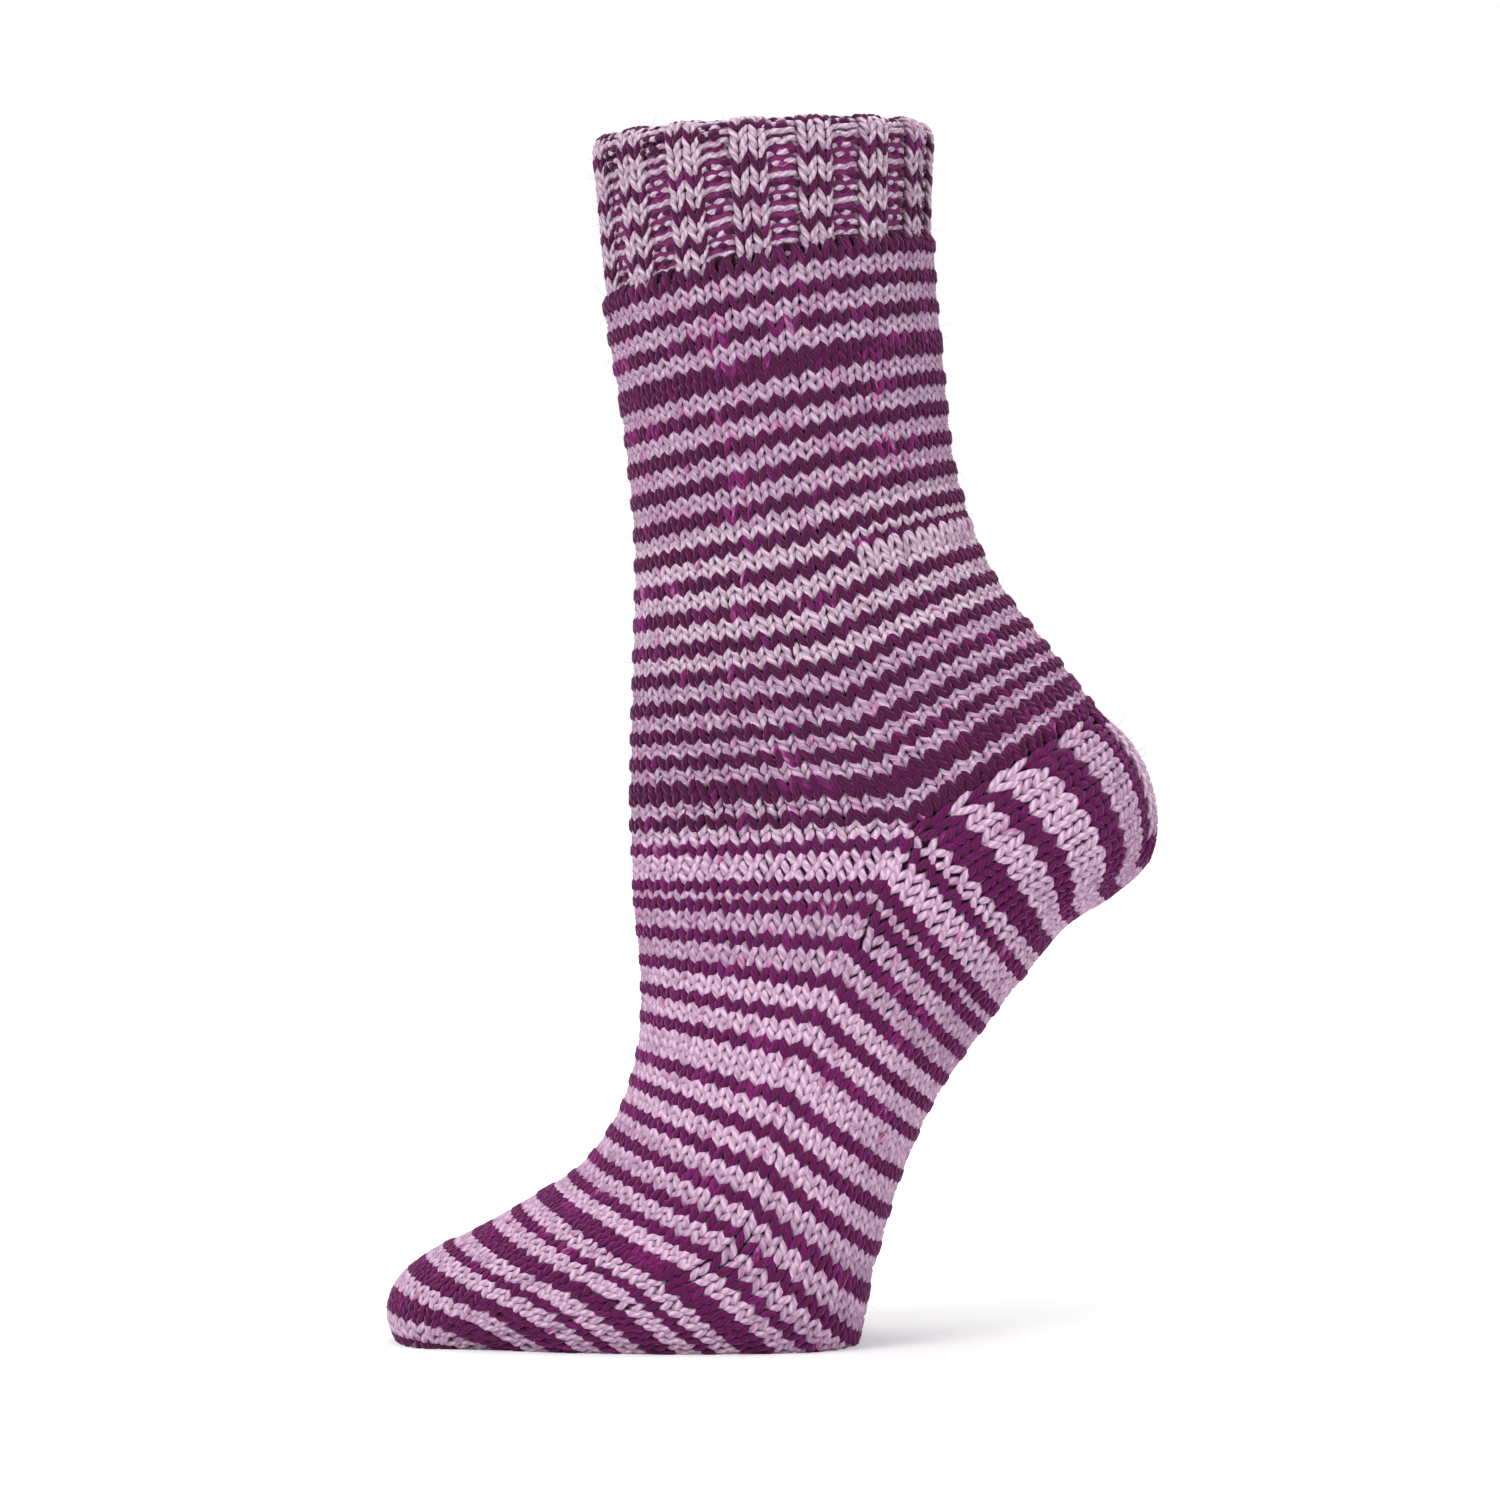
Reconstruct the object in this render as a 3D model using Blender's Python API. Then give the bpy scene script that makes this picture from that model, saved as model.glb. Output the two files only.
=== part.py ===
"""Hand-knitted striped sock pulled over a rigid tiptoe display foot.

The sock is modelled in the sections it is knitted in: ribbed cuff, leg, heel flap,
narrow band up the back of the heel, instep, sole and toe. Inside them stands the
hollow foot form that holds the sock up. All sizes are millimetres; the toe points
along -X, the width lies along Y and the sock stands on its ball and toes at Z = 0.
"""
import math
from collections import namedtuple

import bmesh
import bpy
import numpy as np

MM = 0.001

# Fabric, fits and the form
FABRIC_THICKNESS = 3.0
FIT_GAP = 0.3
JOIN_GAP = 0.3
FORM_WALL = 2.6
WELL_FLOOR_DROP = 6.0

# Cuff: knit two, purl two ribbing turned in over the rim of the form
RIB_COUNT = 15
RIB_TURN = 4.0
RIB_DEPTH = 1.2
RIB_COLUMNS = 6
RIB_SQUARENESS = 2.2
CUFF_TUCK = 14.0

# Heel: the band up its back, edged by two raised chains of slipped stitches
BAND_WIDTH = 25.0
CHAIN_HEIGHT = 1.0
CHAIN_WIDTH = 3.0

# A knitted row seen from the side runs from the front of the sock, past its widest
# point at the side, to the back or the sole. Points are (x, z) on the outer face.
Row = namedtuple("Row", "front side back half_width fullness")

RIM = Row((-43.0, 276.0), (-2.5, 277.8), (38.0, 279.6), 37.0, 2.0)
CUFF_EDGE = Row((-39.7, 242.8), (-1.1, 251.6), (37.3, 257.6), 35.2, 2.0)
CALF = Row((-34.7, 212.3), (2.1, 219.7), (39.6, 226.9), 32.5, 2.0)
SHAFT = Row((-32.2, 186.4), (5.1, 193.3), (42.5, 202.6), 31.0, 2.0)
LOW_SHAFT = Row((-32.4, 159.6), (11.4, 163.8), (51.5, 178.2), 31.5, 2.1)
OVER_ANKLE = Row((-32.9, 139.8), (19.5, 142.6), (63.6, 162.1), 32.5, 2.2)
ANKLE = Row((-32.9, 119.3), (30.8, 119.8), (75.5, 147.0), 33.0, 2.3)
LEG_ROWS = (RIM, CUFF_EDGE, CALF, SHAFT, LOW_SHAFT, OVER_ANKLE, ANKLE)

# The heel's outline between the ankle row and the first row of the foot
HEEL_OUTLINE = ((83.4, 139.3), (89.0, 126.0), (88.0, 112.5), (79.5, 104.0), (68.5, 96.8))
BAND_END = 3

HEEL_ROW = Row(ANKLE.front, ANKLE.side, (60.8, 88.1), ANKLE.half_width, ANKLE.fullness)
INSTEP = Row((-32.4, 102.8), (21.2, 102.3), (48.9, 72.9), 33.0, 2.3)
ARCH = Row((-30.7, 84.6), (11.0, 79.2), (37.7, 56.6), 34.5, 2.3)
MIDFOOT = Row((-31.6, 67.3), (2.8, 58.7), (29.8, 39.1), 37.0, 2.4)
BALL_TOP = Row((-36.1, 52.9), (-3.7, 39.1), (23.5, 18.4), 40.5, 2.6)
BALL = Row((-44.5, 41.0), (-12.5, 26.0), (17.0, -3.0), 42.5, 2.8)
TOE_LINE = Row((-56.6, 33.1), (-29.6, 17.4), (-2.0, -6.5), 43.0, 2.8)
KNUCKLE = Row((-67.8, 26.6), (-42.2, 14.0), (-17.0, -7.0), 41.5, 2.8)
TOE_TOP = Row((-81.0, 20.0), (-58.5, 9.5), (-34.0, -7.0), 36.5, 2.7)
TOE_FRONT = Row((-88.0, 13.5), (-68.5, 7.0), (-46.0, -6.0), 31.5, 2.6)
TOE_TIP = Row((-89.7, 5.0), (-77.0, 3.0), (-56.0, -4.0), 26.0, 2.4)
TOE_UNDER = Row((-86.0, -1.5), (-78.5, -2.0), (-64.0, -3.0), 20.0, 2.2)
GRAFT = Row((-73.0, -3.0), (-73.0, -3.0), (-73.0, -3.0), 13.0, 2.0)
FOOT_ROWS = (HEEL_ROW, INSTEP, ARCH, MIDFOOT, BALL_TOP, BALL, TOE_LINE)
TOE_ROWS = (KNUCKLE, TOE_TOP, TOE_FRONT, TOE_TIP, TOE_UNDER, GRAFT)

# Facets: columns in a quarter of a row, steps between two stations
QUARTER_COLUMNS = 9
LEG_STEPS = 2
FOOT_STEPS = 2
HEEL_STEPS = 2
CUFF_STEPS = 4
FOLD_STEPS = 5
UNDER_COLUMNS = 6
BAND_COLUMNS = 3
CREASE_ANGLE = 40.0

YARN_COLOUR = (0.42, 0.14, 0.36)
RIB_COLOUR = (0.50, 0.22, 0.44)
HEEL_COLOUR = (0.58, 0.33, 0.55)
FORM_COLOUR = (0.80, 0.78, 0.76)

TUBE_ROWS = LEG_ROWS + FOOT_ROWS[1:] + TOE_ROWS
LAST_LEG = len(LEG_ROWS) - 1
HEEL_SPANS = len(HEEL_OUTLINE) + 1
FIRST_FOOT = LAST_LEG + HEEL_SPANS
TOE_START = FIRST_FOOT + len(FOOT_ROWS) - 1
GRAFT_ROW = TOE_START + len(TOE_ROWS)
TINY = 1e-9
ROW_STEP = 0.02
ANGLE_STEP = 0.5
SIDE_STEP = 2.0


def spline(points, position):
    """Point at a fractional index on a smooth curve through the given points."""
    points = np.asarray(points, float).reshape(len(points), -1)
    index = min(max(int(math.floor(position)), 0), len(points) - 2)
    part = position - index
    lengths = np.linalg.norm(np.diff(points, axis=0), axis=1) + TINY
    slopes = np.diff(points, axis=0) / lengths[:, None]
    tangents = [slopes[0]]
    for i in range(1, len(points) - 1):
        weight = lengths[i - 1] + lengths[i]
        tangents.append((slopes[i - 1] * lengths[i] + slopes[i] * lengths[i - 1]) / weight)
    tangents.append(slopes[-1])
    step = lengths[index]
    start, end = points[index], points[index + 1]
    square, cube = part * part, part * part * part
    return (
        (2 * cube - 3 * square + 1) * start
        + (cube - 2 * square + part) * step * tangents[index]
        + (3 * square - 2 * cube) * end
        + (cube - square) * step * tangents[index + 1]
    )


FRONT_POINTS = [row.front for row in TUBE_ROWS]
SIDE_POINTS = [row.side for row in TUBE_ROWS]
WIDTHS = [(row.half_width,) for row in TUBE_ROWS]
FULLNESS = [(row.fullness,) for row in TUBE_ROWS]
BACK_POINTS = [row.back for row in LEG_ROWS] + list(HEEL_OUTLINE)
BACK_POINTS += [row.back for row in FOOT_ROWS + TOE_ROWS]


def tube_index(row):
    """Index among the tube's rows, which skip the rows of the heel's fan."""
    if row <= LAST_LEG:
        return row
    return max(row - HEEL_SPANS, LAST_LEG)


def on_front(index, angle):
    """Point on the front half of a row; angle 0 is the front, 90 and 270 the sides."""
    front = spline(FRONT_POINTS, index)
    side = spline(SIDE_POINTS, index)
    width = spline(WIDTHS, index)[0]
    turn = math.radians(angle)
    place = side + (front - side) * max(math.cos(turn), 0.0)
    return np.array((place[0], -width * math.sin(turn), max(place[1], 0.0)))


def on_back(row, angle):
    """Point on the back half of a row; angle 180 is the middle of the back or sole."""
    index = tube_index(row)
    side = spline(SIDE_POINTS, index)
    back = spline(BACK_POINTS, row)
    width = spline(WIDTHS, index)[0]
    power = 2.0 / spline(FULLNESS, index)[0]
    turn = math.radians(angle)
    along = max(-math.cos(turn), 0.0) ** power
    across = -math.copysign(abs(math.sin(turn)) ** power, math.sin(turn)) * width
    place = side + (back - side) * along
    return np.array((place[0], across, max(place[1], 0.0)))


def tilt(function, row, angle, lowest, highest):
    """Outward direction of one half of the surface at a row and angle."""
    before, after = max(row - ROW_STEP, lowest), min(row + ROW_STEP, highest)
    along = function(after, angle) - function(before, angle)
    across = function(row, angle + ANGLE_STEP) - function(row, angle - ANGLE_STEP)
    normal = np.cross(along, across)
    size = np.linalg.norm(normal)
    return normal / size if size > TINY else np.zeros(3)


def surface(row, angle):
    """Point and outward direction on the sock's outer face."""
    angle = angle % 360.0
    at_side = abs(angle - 90.0) < TINY or abs(angle - 270.0) < TINY
    in_front = angle < 90.0 or angle > 270.0
    index = tube_index(row)
    last = len(TUBE_ROWS) - 1
    if at_side:
        point = on_front(index, angle)
        inward = -1.0 if angle < 180.0 else 1.0
        normal = np.array((0.0, inward, 0.0))
        if not LAST_LEG <= row <= FIRST_FOOT:
            normal = tilt(on_front, index, angle + inward * SIDE_STEP, 0, last)
            normal = normal + tilt(on_back, row, angle - inward * SIDE_STEP, 0, GRAFT_ROW)
    elif in_front:
        point = on_front(index, angle)
        normal = tilt(on_front, index, angle, 0, last)
    else:
        point = on_back(row, angle)
        normal = tilt(on_back, row, angle, 0, GRAFT_ROW)
    if point[2] <= 0.0 and row > GRAFT_ROW - 1.0 / FOOT_STEPS:
        normal = np.array((0.0, 0.0, -1.0))
    return point, normal / max(np.linalg.norm(normal), TINY)


def grid(rows, angles):
    """Points and outward directions on a net of rows and angles."""
    pairs = [[surface(row, angle) for angle in angles] for row in rows]
    points = np.array([[pair[0] for pair in line] for line in pairs])
    normals = np.array([[pair[1] for pair in line] for line in pairs])
    return points, normals


def steps(first, last, count):
    """Evenly spaced stations from first to last, both included."""
    return list(np.linspace(first, last, int(round((last - first) * count)) + 1))


def pull_in(points, rows=(), columns=()):
    """Moves an edge of a net towards its neighbour by half the gap of a join."""
    for line, other in rows:
        step = points[other] - points[line]
        length = np.linalg.norm(step, axis=1, keepdims=True)
        points[line] += step / np.maximum(length, TINY) * JOIN_GAP / 2
    for line, other in columns:
        step = points[:, other] - points[:, line]
        length = np.linalg.norm(step, axis=1, keepdims=True)
        points[:, line] += step / np.maximum(length, TINY) * JOIN_GAP / 2


def material(name, colour, roughness):
    made = bpy.data.materials.new(name)
    made.use_nodes = True
    shader = made.node_tree.nodes["Principled BSDF"]
    shader.inputs["Base Color"].default_value = (*colour, 1.0)
    shader.inputs["Roughness"].default_value = roughness
    shader.inputs["Metallic"].default_value = 0.0
    return made


class Body:
    """Collects faces by their corners, so that nets with equal corners join up."""

    def __init__(self):
        self.places = {}
        self.points = []
        self.faces = []

    def corner(self, point):
        key = tuple(np.round(point, 4))
        if key not in self.places:
            self.places[key] = len(self.points)
            self.points.append(point)
        return self.places[key]

    def face(self, *corners):
        numbers = []
        for corner in corners:
            number = self.corner(corner)
            if number not in numbers:
                numbers.append(number)
        if len(numbers) > 2:
            self.faces.append(numbers)

    def net(self, points, closed=False, skip=()):
        rows, columns = points.shape[:2]
        for i in range(rows - 1):
            for j in range(columns if closed else columns - 1):
                if (i, j) not in skip:
                    k = (j + 1) % columns
                    self.face(points[i, j], points[i, k], points[i + 1, k], points[i + 1, j])

    def make(self, name, look):
        mesh = bpy.data.meshes.new(name)
        mesh.from_pydata([point * MM for point in self.points], [], self.faces)
        work = bmesh.new()
        work.from_mesh(mesh)
        bmesh.ops.recalc_face_normals(work, faces=work.faces[:])
        bmesh.ops.triangulate(work, faces=work.faces[:])
        work.to_mesh(mesh)
        work.free()
        mesh.shade_smooth()
        mesh.set_sharp_from_angle(angle=math.radians(CREASE_ANGLE))
        mesh.materials.append(look)
        made = bpy.data.objects.new(name, mesh)
        bpy.context.collection.objects.link(made)
        return made


def shell(body, outer, inner, closed=False, skip=(), grafted=False):
    """Closes a net of fabric: outer face, inner face and the edges between them.

    The last row of a grafted net is drawn together, so it has no edge to close.
    """
    body.net(outer, closed, skip)
    body.net(inner, closed, skip)
    rows, columns = outer.shape[:2]
    spans = columns if closed else columns - 1
    cells = {(i, j) for i in range(rows - 1) for j in range(spans)} - set(skip)
    for i, j in cells:
        k = (j + 1) % columns
        sides = (
            ((i - 1, j), (i, j), (i, k)),
            ((i + 1, j), (i + 1, j), (i + 1, k)),
            ((i, (j - 1) % columns if closed else j - 1), (i, j), (i + 1, j)),
            ((i, (j + 1) % columns if closed else j + 1), (i, k), (i + 1, k)),
        )
        for neighbour, a, b in sides:
            if neighbour in cells or (grafted and neighbour[0] == rows - 1):
                continue
            body.face(outer[a], outer[b], inner[b], inner[a])


def fabric(name, look, rows, angles, row_edges, column_edges=(), skip=(), grafted=False):
    """One knitted section as a solid of the fabric's thickness."""
    outer, normals = grid(rows, angles)
    inner = outer - normals * FABRIC_THICKNESS
    for points in (outer, inner):
        pull_in(points, row_edges, column_edges)
    body = Body()
    shell(body, outer, inner, not column_edges, skip, grafted)
    return body.make(name, look)


def around(first, last):
    """Angles of the columns between two quarter marks."""
    quarters = int(round((last - first) / 90.0))
    return list(np.linspace(first, last, quarters * QUARTER_COLUMNS + 1))


def full_circle():
    return around(0.0, 360.0)[:-1]


def rib(angle):
    """How deep the ribbing lies at an angle: 0 on the knit columns, 1 on the purl ones."""
    phase = ((angle + RIB_TURN) / 360.0 * RIB_COUNT) % 1.0
    wave = math.sin(2 * math.pi * phase)
    return 0.5 + 0.5 * math.tanh(RIB_SQUARENESS * wave) / math.tanh(RIB_SQUARENESS)


def make_cuff(look):
    """Ribbed ring around the top of the form, turned in over its rim."""
    count = RIB_COUNT * RIB_COLUMNS
    angles = [360.0 * i / count for i in range(count)]
    rows = list(np.linspace(1.0, 0.0, CUFF_STEPS + 1))
    outer, normals = grid(rows, angles)
    depths = np.array([rib(angle) for angle in angles]) * RIB_DEPTH
    pull_in(outer, rows=((0, 1),))
    middle = FABRIC_THICKNESS + FIT_GAP + FORM_WALL / 2
    half_slot = FORM_WALL / 2 + FIT_GAP
    rim_normals = normals[-1]
    up = outer[-1] - outer[-2]
    up -= rim_normals * np.sum(up * rim_normals, axis=1, keepdims=True)
    up /= np.linalg.norm(up, axis=1, keepdims=True)
    core = outer[-1] - rim_normals * middle
    profile = [outer[i] - normals[i] * depths[:, None] for i in range(len(rows))]
    for step in range(1, FOLD_STEPS + 1):
        turn = math.pi * step / FOLD_STEPS
        reach = middle - depths * max(math.cos(turn), 0.0)
        sideways = rim_normals * (reach * math.cos(turn))[:, None]
        profile.append(core + sideways + up * middle * math.sin(turn))
    inside = core - rim_normals * middle
    profile.append(inside - up * CUFF_TUCK)
    profile.append(core - rim_normals * half_slot - up * CUFF_TUCK)
    profile.append(core - rim_normals * half_slot + up * FIT_GAP)
    profile.append(core + rim_normals * half_slot + up * FIT_GAP)
    for i in range(len(rows) - 2, -1, -1):
        profile.append(outer[i] - normals[i] * FABRIC_THICKNESS)
    profile.append(profile[0])
    body = Body()
    body.net(np.array(profile), closed=True)
    return body.make("cuff_ribbing", look)


def make_leg(look):
    rows = steps(1, LAST_LEG, LEG_STEPS)
    edges = ((0, 1), (-1, -2))
    return fabric("leg_tube", look, rows, full_circle(), edges)


def make_instep(look):
    rows = [FIRST_FOOT + part for part in steps(0, TOE_START - FIRST_FOOT, FOOT_STEPS)]
    edges = ((0, 1), (-1, -2))
    sides = ((0, 1), (-1, -2))
    return fabric("instep", look, rows, around(-90.0, 90.0), edges, sides)


def make_sole(look):
    rows = [FIRST_FOOT + part for part in steps(0, TOE_START - FIRST_FOOT, FOOT_STEPS)]
    edges = ((0, 1), (-1, -2))
    sides = ((0, 1), (-1, -2))
    return fabric("sole", look, rows, around(90.0, 270.0), edges, sides)


def make_toe(look):
    rows = steps(TOE_START, GRAFT_ROW, FOOT_STEPS)
    return fabric("toe_cap", look, rows, full_circle(), ((0, 1),), grafted=True)


def band_angle(half_band):
    """Angle on the heel's rows at which the band's edge lies."""
    share = half_band / ANKLE.half_width
    return 180.0 - math.degrees(math.asin(share ** (ANKLE.fullness / 2.0)))


def make_heel_flap(look):
    """Fabric round the sides and underside of the heel, with a notch for the band."""
    edge = band_angle(BAND_WIDTH / 2 + JOIN_GAP / 2)
    side = list(np.linspace(90.0, edge, QUARTER_COLUMNS + 1))
    under = list(np.linspace(edge, 360.0 - edge, UNDER_COLUMNS + 1))[1:-1]
    angles = side + under + [360.0 - angle for angle in reversed(side)]
    rows = steps(LAST_LEG, FIRST_FOOT, HEEL_STEPS)
    notch_rows = BAND_END * HEEL_STEPS
    notch_columns = range(len(side) - 1, len(side) + len(under))
    skip = {(i, j) for i in range(notch_rows) for j in notch_columns}
    edges = ((0, 1), (-1, -2))
    sides = ((0, 1), (-1, -2))
    return fabric("heel_flap", look, rows, angles, edges, sides, skip)


def make_heel_band(look):
    """Narrow strip up the back of the heel with a raised chain along each edge."""
    edge = band_angle(BAND_WIDTH / 2 - JOIN_GAP / 2)
    crest = band_angle((BAND_WIDTH - CHAIN_WIDTH) / 2)
    foot = band_angle(BAND_WIDTH / 2 - CHAIN_WIDTH)
    near = [edge, crest] + list(np.linspace(foot, 180.0, BAND_COLUMNS + 1))[:-1]
    angles = near + [180.0] + [360.0 - angle for angle in reversed(near)]
    rows = steps(LAST_LEG, LAST_LEG + BAND_END, HEEL_STEPS * 2)
    outer, normals = grid(rows, angles)
    inner = outer - normals * FABRIC_THICKNESS
    for points in (outer, inner):
        pull_in(points, rows=((0, 1), (-1, -2), (-1, -2)))
    for column in (1, len(angles) - 2):
        outer[:, column] += normals[:, column] * CHAIN_HEIGHT
    body = Body()
    shell(body, outer, inner)
    return body.make("heel_back_band", look)


def make_form(look):
    """Hollow leg and solid foot of the display form, open at its rim."""
    depth = FABRIC_THICKNESS + FIT_GAP
    circle = full_circle()
    body = Body()
    leg_points, leg_normals = grid(steps(0, LAST_LEG, LEG_STEPS), circle)
    outer = leg_points - leg_normals * depth
    body.net(outer, closed=True)
    heel_points, heel_normals = grid(steps(LAST_LEG, FIRST_FOOT, HEEL_STEPS), around(90.0, 270.0))
    body.net(heel_points - heel_normals * depth)
    foot_points, foot_normals = grid(steps(FIRST_FOOT, GRAFT_ROW, FOOT_STEPS), circle)
    body.net(foot_points - foot_normals * depth, closed=True)
    well_rows = (LAST_LEG - 1) * LEG_STEPS + 1
    well = leg_points[:well_rows] - leg_normals[:well_rows] * (depth + FORM_WALL)
    body.net(well[::-1], closed=True)
    body.net(np.array((well[0], outer[0])), closed=True)
    centre = well[-1].mean(axis=0) - np.array((0.0, 0.0, WELL_FLOOR_DROP))
    for j in range(len(circle)):
        body.face(well[-1][j], well[-1][(j + 1) % len(circle)], centre)
    return body.make("foot_form", look)


def main():
    for item in list(bpy.data.objects):
        bpy.data.objects.remove(item, do_unlink=True)
    knit = material("knitted_yarn", YARN_COLOUR, 0.95)
    ribbed = material("ribbed_yarn", RIB_COLOUR, 0.95)
    heel = material("heel_yarn", HEEL_COLOUR, 0.95)
    plastic = material("form_plastic", FORM_COLOUR, 0.5)
    make_form(plastic)
    make_cuff(ribbed)
    make_leg(knit)
    make_instep(knit)
    make_sole(knit)
    make_heel_flap(heel)
    make_heel_band(heel)
    make_toe(knit)


main()
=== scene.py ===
"""Knits a striped sock, stitch by stitch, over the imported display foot.

Every section of the sock is made of real loops of yarn that follow the outer face of
the part: ribbing turned over the rim, plain rounds down the leg, a heel flap with long
edge stitches, a chain-edged band up its back, instep, sole and toe. All lengths in the
knitting code are millimetres and become metres when a mesh is made.
"""

import math
from collections import namedtuple

import bpy
import numpy as np
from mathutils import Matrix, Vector


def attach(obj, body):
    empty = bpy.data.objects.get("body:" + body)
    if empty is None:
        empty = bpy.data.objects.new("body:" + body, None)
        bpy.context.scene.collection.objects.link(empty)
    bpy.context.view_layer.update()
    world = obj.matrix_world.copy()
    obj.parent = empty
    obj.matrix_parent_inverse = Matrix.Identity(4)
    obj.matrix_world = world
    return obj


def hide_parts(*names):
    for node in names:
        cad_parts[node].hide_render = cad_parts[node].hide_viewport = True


bl_info = {
    "name": "Hand-knitted Sock",
    "version": (1, 0, 0),
    "blender": (4, 5, 0),
    "location": "3D View > Sidebar > Sock",
    "description": "Knits a striped sock over the packed display foot",
    "category": "Add Mesh",
}

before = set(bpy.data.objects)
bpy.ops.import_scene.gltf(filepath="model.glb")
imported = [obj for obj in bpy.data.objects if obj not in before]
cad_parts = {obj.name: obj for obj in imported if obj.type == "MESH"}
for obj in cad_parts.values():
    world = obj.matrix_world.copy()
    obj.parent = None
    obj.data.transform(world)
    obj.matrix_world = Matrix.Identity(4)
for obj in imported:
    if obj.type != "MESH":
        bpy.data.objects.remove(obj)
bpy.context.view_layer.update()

MM = 0.001
SMALL = 1e-3
TINY = 1e-9
SEED = 20
DOWN = (0.0, 0.0, -1.0)

# Rows of the sock on its outer face, as (x, z) at the front, the side and the back
Row = namedtuple("Row", "front side back half_width fullness")

RIM = Row((-43.0, 276.0), (-2.5, 277.8), (38.0, 279.6), 37.0, 2.0)
CUFF_EDGE = Row((-39.7, 242.8), (-1.1, 251.6), (37.3, 257.6), 35.2, 2.0)
CALF = Row((-34.7, 212.3), (2.1, 219.7), (39.6, 226.9), 32.5, 2.0)
SHAFT = Row((-32.2, 186.4), (5.1, 193.3), (42.5, 202.6), 31.0, 2.0)
LOW_SHAFT = Row((-32.4, 159.6), (11.4, 163.8), (51.5, 178.2), 31.5, 2.1)
OVER_ANKLE = Row((-32.9, 139.8), (19.5, 142.6), (63.6, 162.1), 32.5, 2.2)
ANKLE = Row((-32.9, 117.0), (30.8, 119.8), (75.5, 147.0), 33.0, 2.3)
LEG_ROWS = (RIM, CUFF_EDGE, CALF, SHAFT, LOW_SHAFT, OVER_ANKLE, ANKLE)
HEEL_OUTLINE = ((83.4, 139.3), (89.0, 126.0), (88.0, 112.5), (79.5, 104.0), (68.5, 96.8))
HEEL_ROW = Row(ANKLE.front, ANKLE.side, (60.8, 88.1), ANKLE.half_width, ANKLE.fullness)
INSTEP = Row((-32.4, 102.8), (21.2, 102.3), (48.9, 72.9), 33.0, 2.3)
ARCH = Row((-30.7, 84.6), (11.0, 79.2), (37.7, 56.6), 34.5, 2.3)
MIDFOOT = Row((-31.6, 67.3), (2.8, 58.7), (29.8, 39.1), 37.0, 2.4)
BALL_TOP = Row((-36.1, 52.9), (-3.7, 39.1), (23.5, 18.4), 40.5, 2.6)
BALL = Row((-44.5, 41.0), (-12.5, 26.0), (17.0, -3.0), 42.5, 2.8)
TOE_LINE = Row((-56.6, 33.1), (-29.6, 17.4), (-2.0, -6.5), 43.0, 2.8)
KNUCKLE = Row((-67.8, 26.6), (-42.2, 14.0), (-17.0, -7.0), 41.5, 2.8)
TOE_TOP = Row((-81.0, 20.0), (-58.5, 9.5), (-34.0, -7.0), 36.5, 2.7)
TOE_FRONT = Row((-88.0, 13.5), (-68.5, 7.0), (-46.0, -6.0), 31.5, 2.6)
TOE_TIP = Row((-89.7, 5.0), (-77.0, 3.0), (-56.0, -4.0), 26.0, 2.4)
TOE_UNDER = Row((-86.0, -1.5), (-78.5, -2.0), (-64.0, -3.0), 20.0, 2.2)
GRAFT = Row((-73.0, -3.0), (-73.0, -3.0), (-73.0, -3.0), 13.0, 2.0)
FOOT_ROWS = (HEEL_ROW, INSTEP, ARCH, MIDFOOT, BALL_TOP, BALL, TOE_LINE)
TOE_ROWS = (KNUCKLE, TOE_TOP, TOE_FRONT, TOE_TIP, TOE_UNDER, GRAFT)
TUBE_ROWS = LEG_ROWS + FOOT_ROWS[1:] + TOE_ROWS

# Places in the lists of rows; the back has the points of the heel's outline between leg and foot
CUFF_INDEX = LEG_ROWS.index(CUFF_EDGE)
LAST_LEG = len(LEG_ROWS) - 1
HEEL_SPANS = len(HEEL_OUTLINE) + 1
FIRST_FOOT = LAST_LEG + HEEL_SPANS
GRAFT_INDEX = len(TUBE_ROWS) - 1

# Turned-over cuff: half the distance between its two faces, and how far it goes down inside
FOLD_REACH = 4.6
TUCK_DEPTH = 20.0
# Height of a round of ribbing, and how far the first one hangs over the cuff edge
CUFF_PITCH = 2.55
CUFF_DROP = 1.7

# Band up the back of the heel: half its width, and the point of the outline at which it ends
BAND_HALF = 12.5
BAND_END = 3

# Counts of the knitting: stitches in half a round, rounds of each section
HALF_ROUND = 30
CUFF_ROUNDS = 23
LEG_ROUNDS = 55
FOOT_ROUNDS = 43
TOE_ROUNDS = 27
HEEL_ROWS = 22
HEEL_STITCHES = 12
BAND_ROWS = 16
BAND_STITCHES = 8
# Stitches in half of the sole's first round, and the rounds over which the foot fills up after it
SOLE_STITCHES = 13
FILLING_ROUNDS = 12

# Rounds knitted down to each row, counted from the cuff edge
LEG_PROGRESS = (-11.5, -0.7, 12.3, 22.8, 34.4, 43.5, LEG_ROUNDS)
FOOT_PROGRESS = (7.2, 15.5, 23.4, 30.7, 37, FOOT_ROUNDS + 1)
TOE_PROGRESS = (6, 12.0, 15.8, 19, 22, TOE_ROUNDS)

# Colour of each round, from the cuff edge outwards: L is pale yarn, M lilac and D plum
CUFF_STRIPES = "MLDLLDLLDLLLDLLDLLDLLDL"
LEG_STRIPES = "DMMDMMDMMD" + "DMM" * 4 + "DML" + "DLL" * 4 + "DMM" * 4 + "DDMMDL"
FOOT_STRIPES = "LDLLLDMD" + "MMD" * 2 + "LLD" * 2 + "LLLD" + "LLD" * 2 + "LMD" * 3 + "LLDD"
TOE_STRIPES = "LLDLLDDLLDLLDDLLDDLLDLLDLLD"
HEEL_STRIPES = "LDDDLLLDDLLLLDDDMMMMDD"
BAND_STRIPES = "DDMLLLLLLLLLMDDD"
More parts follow.
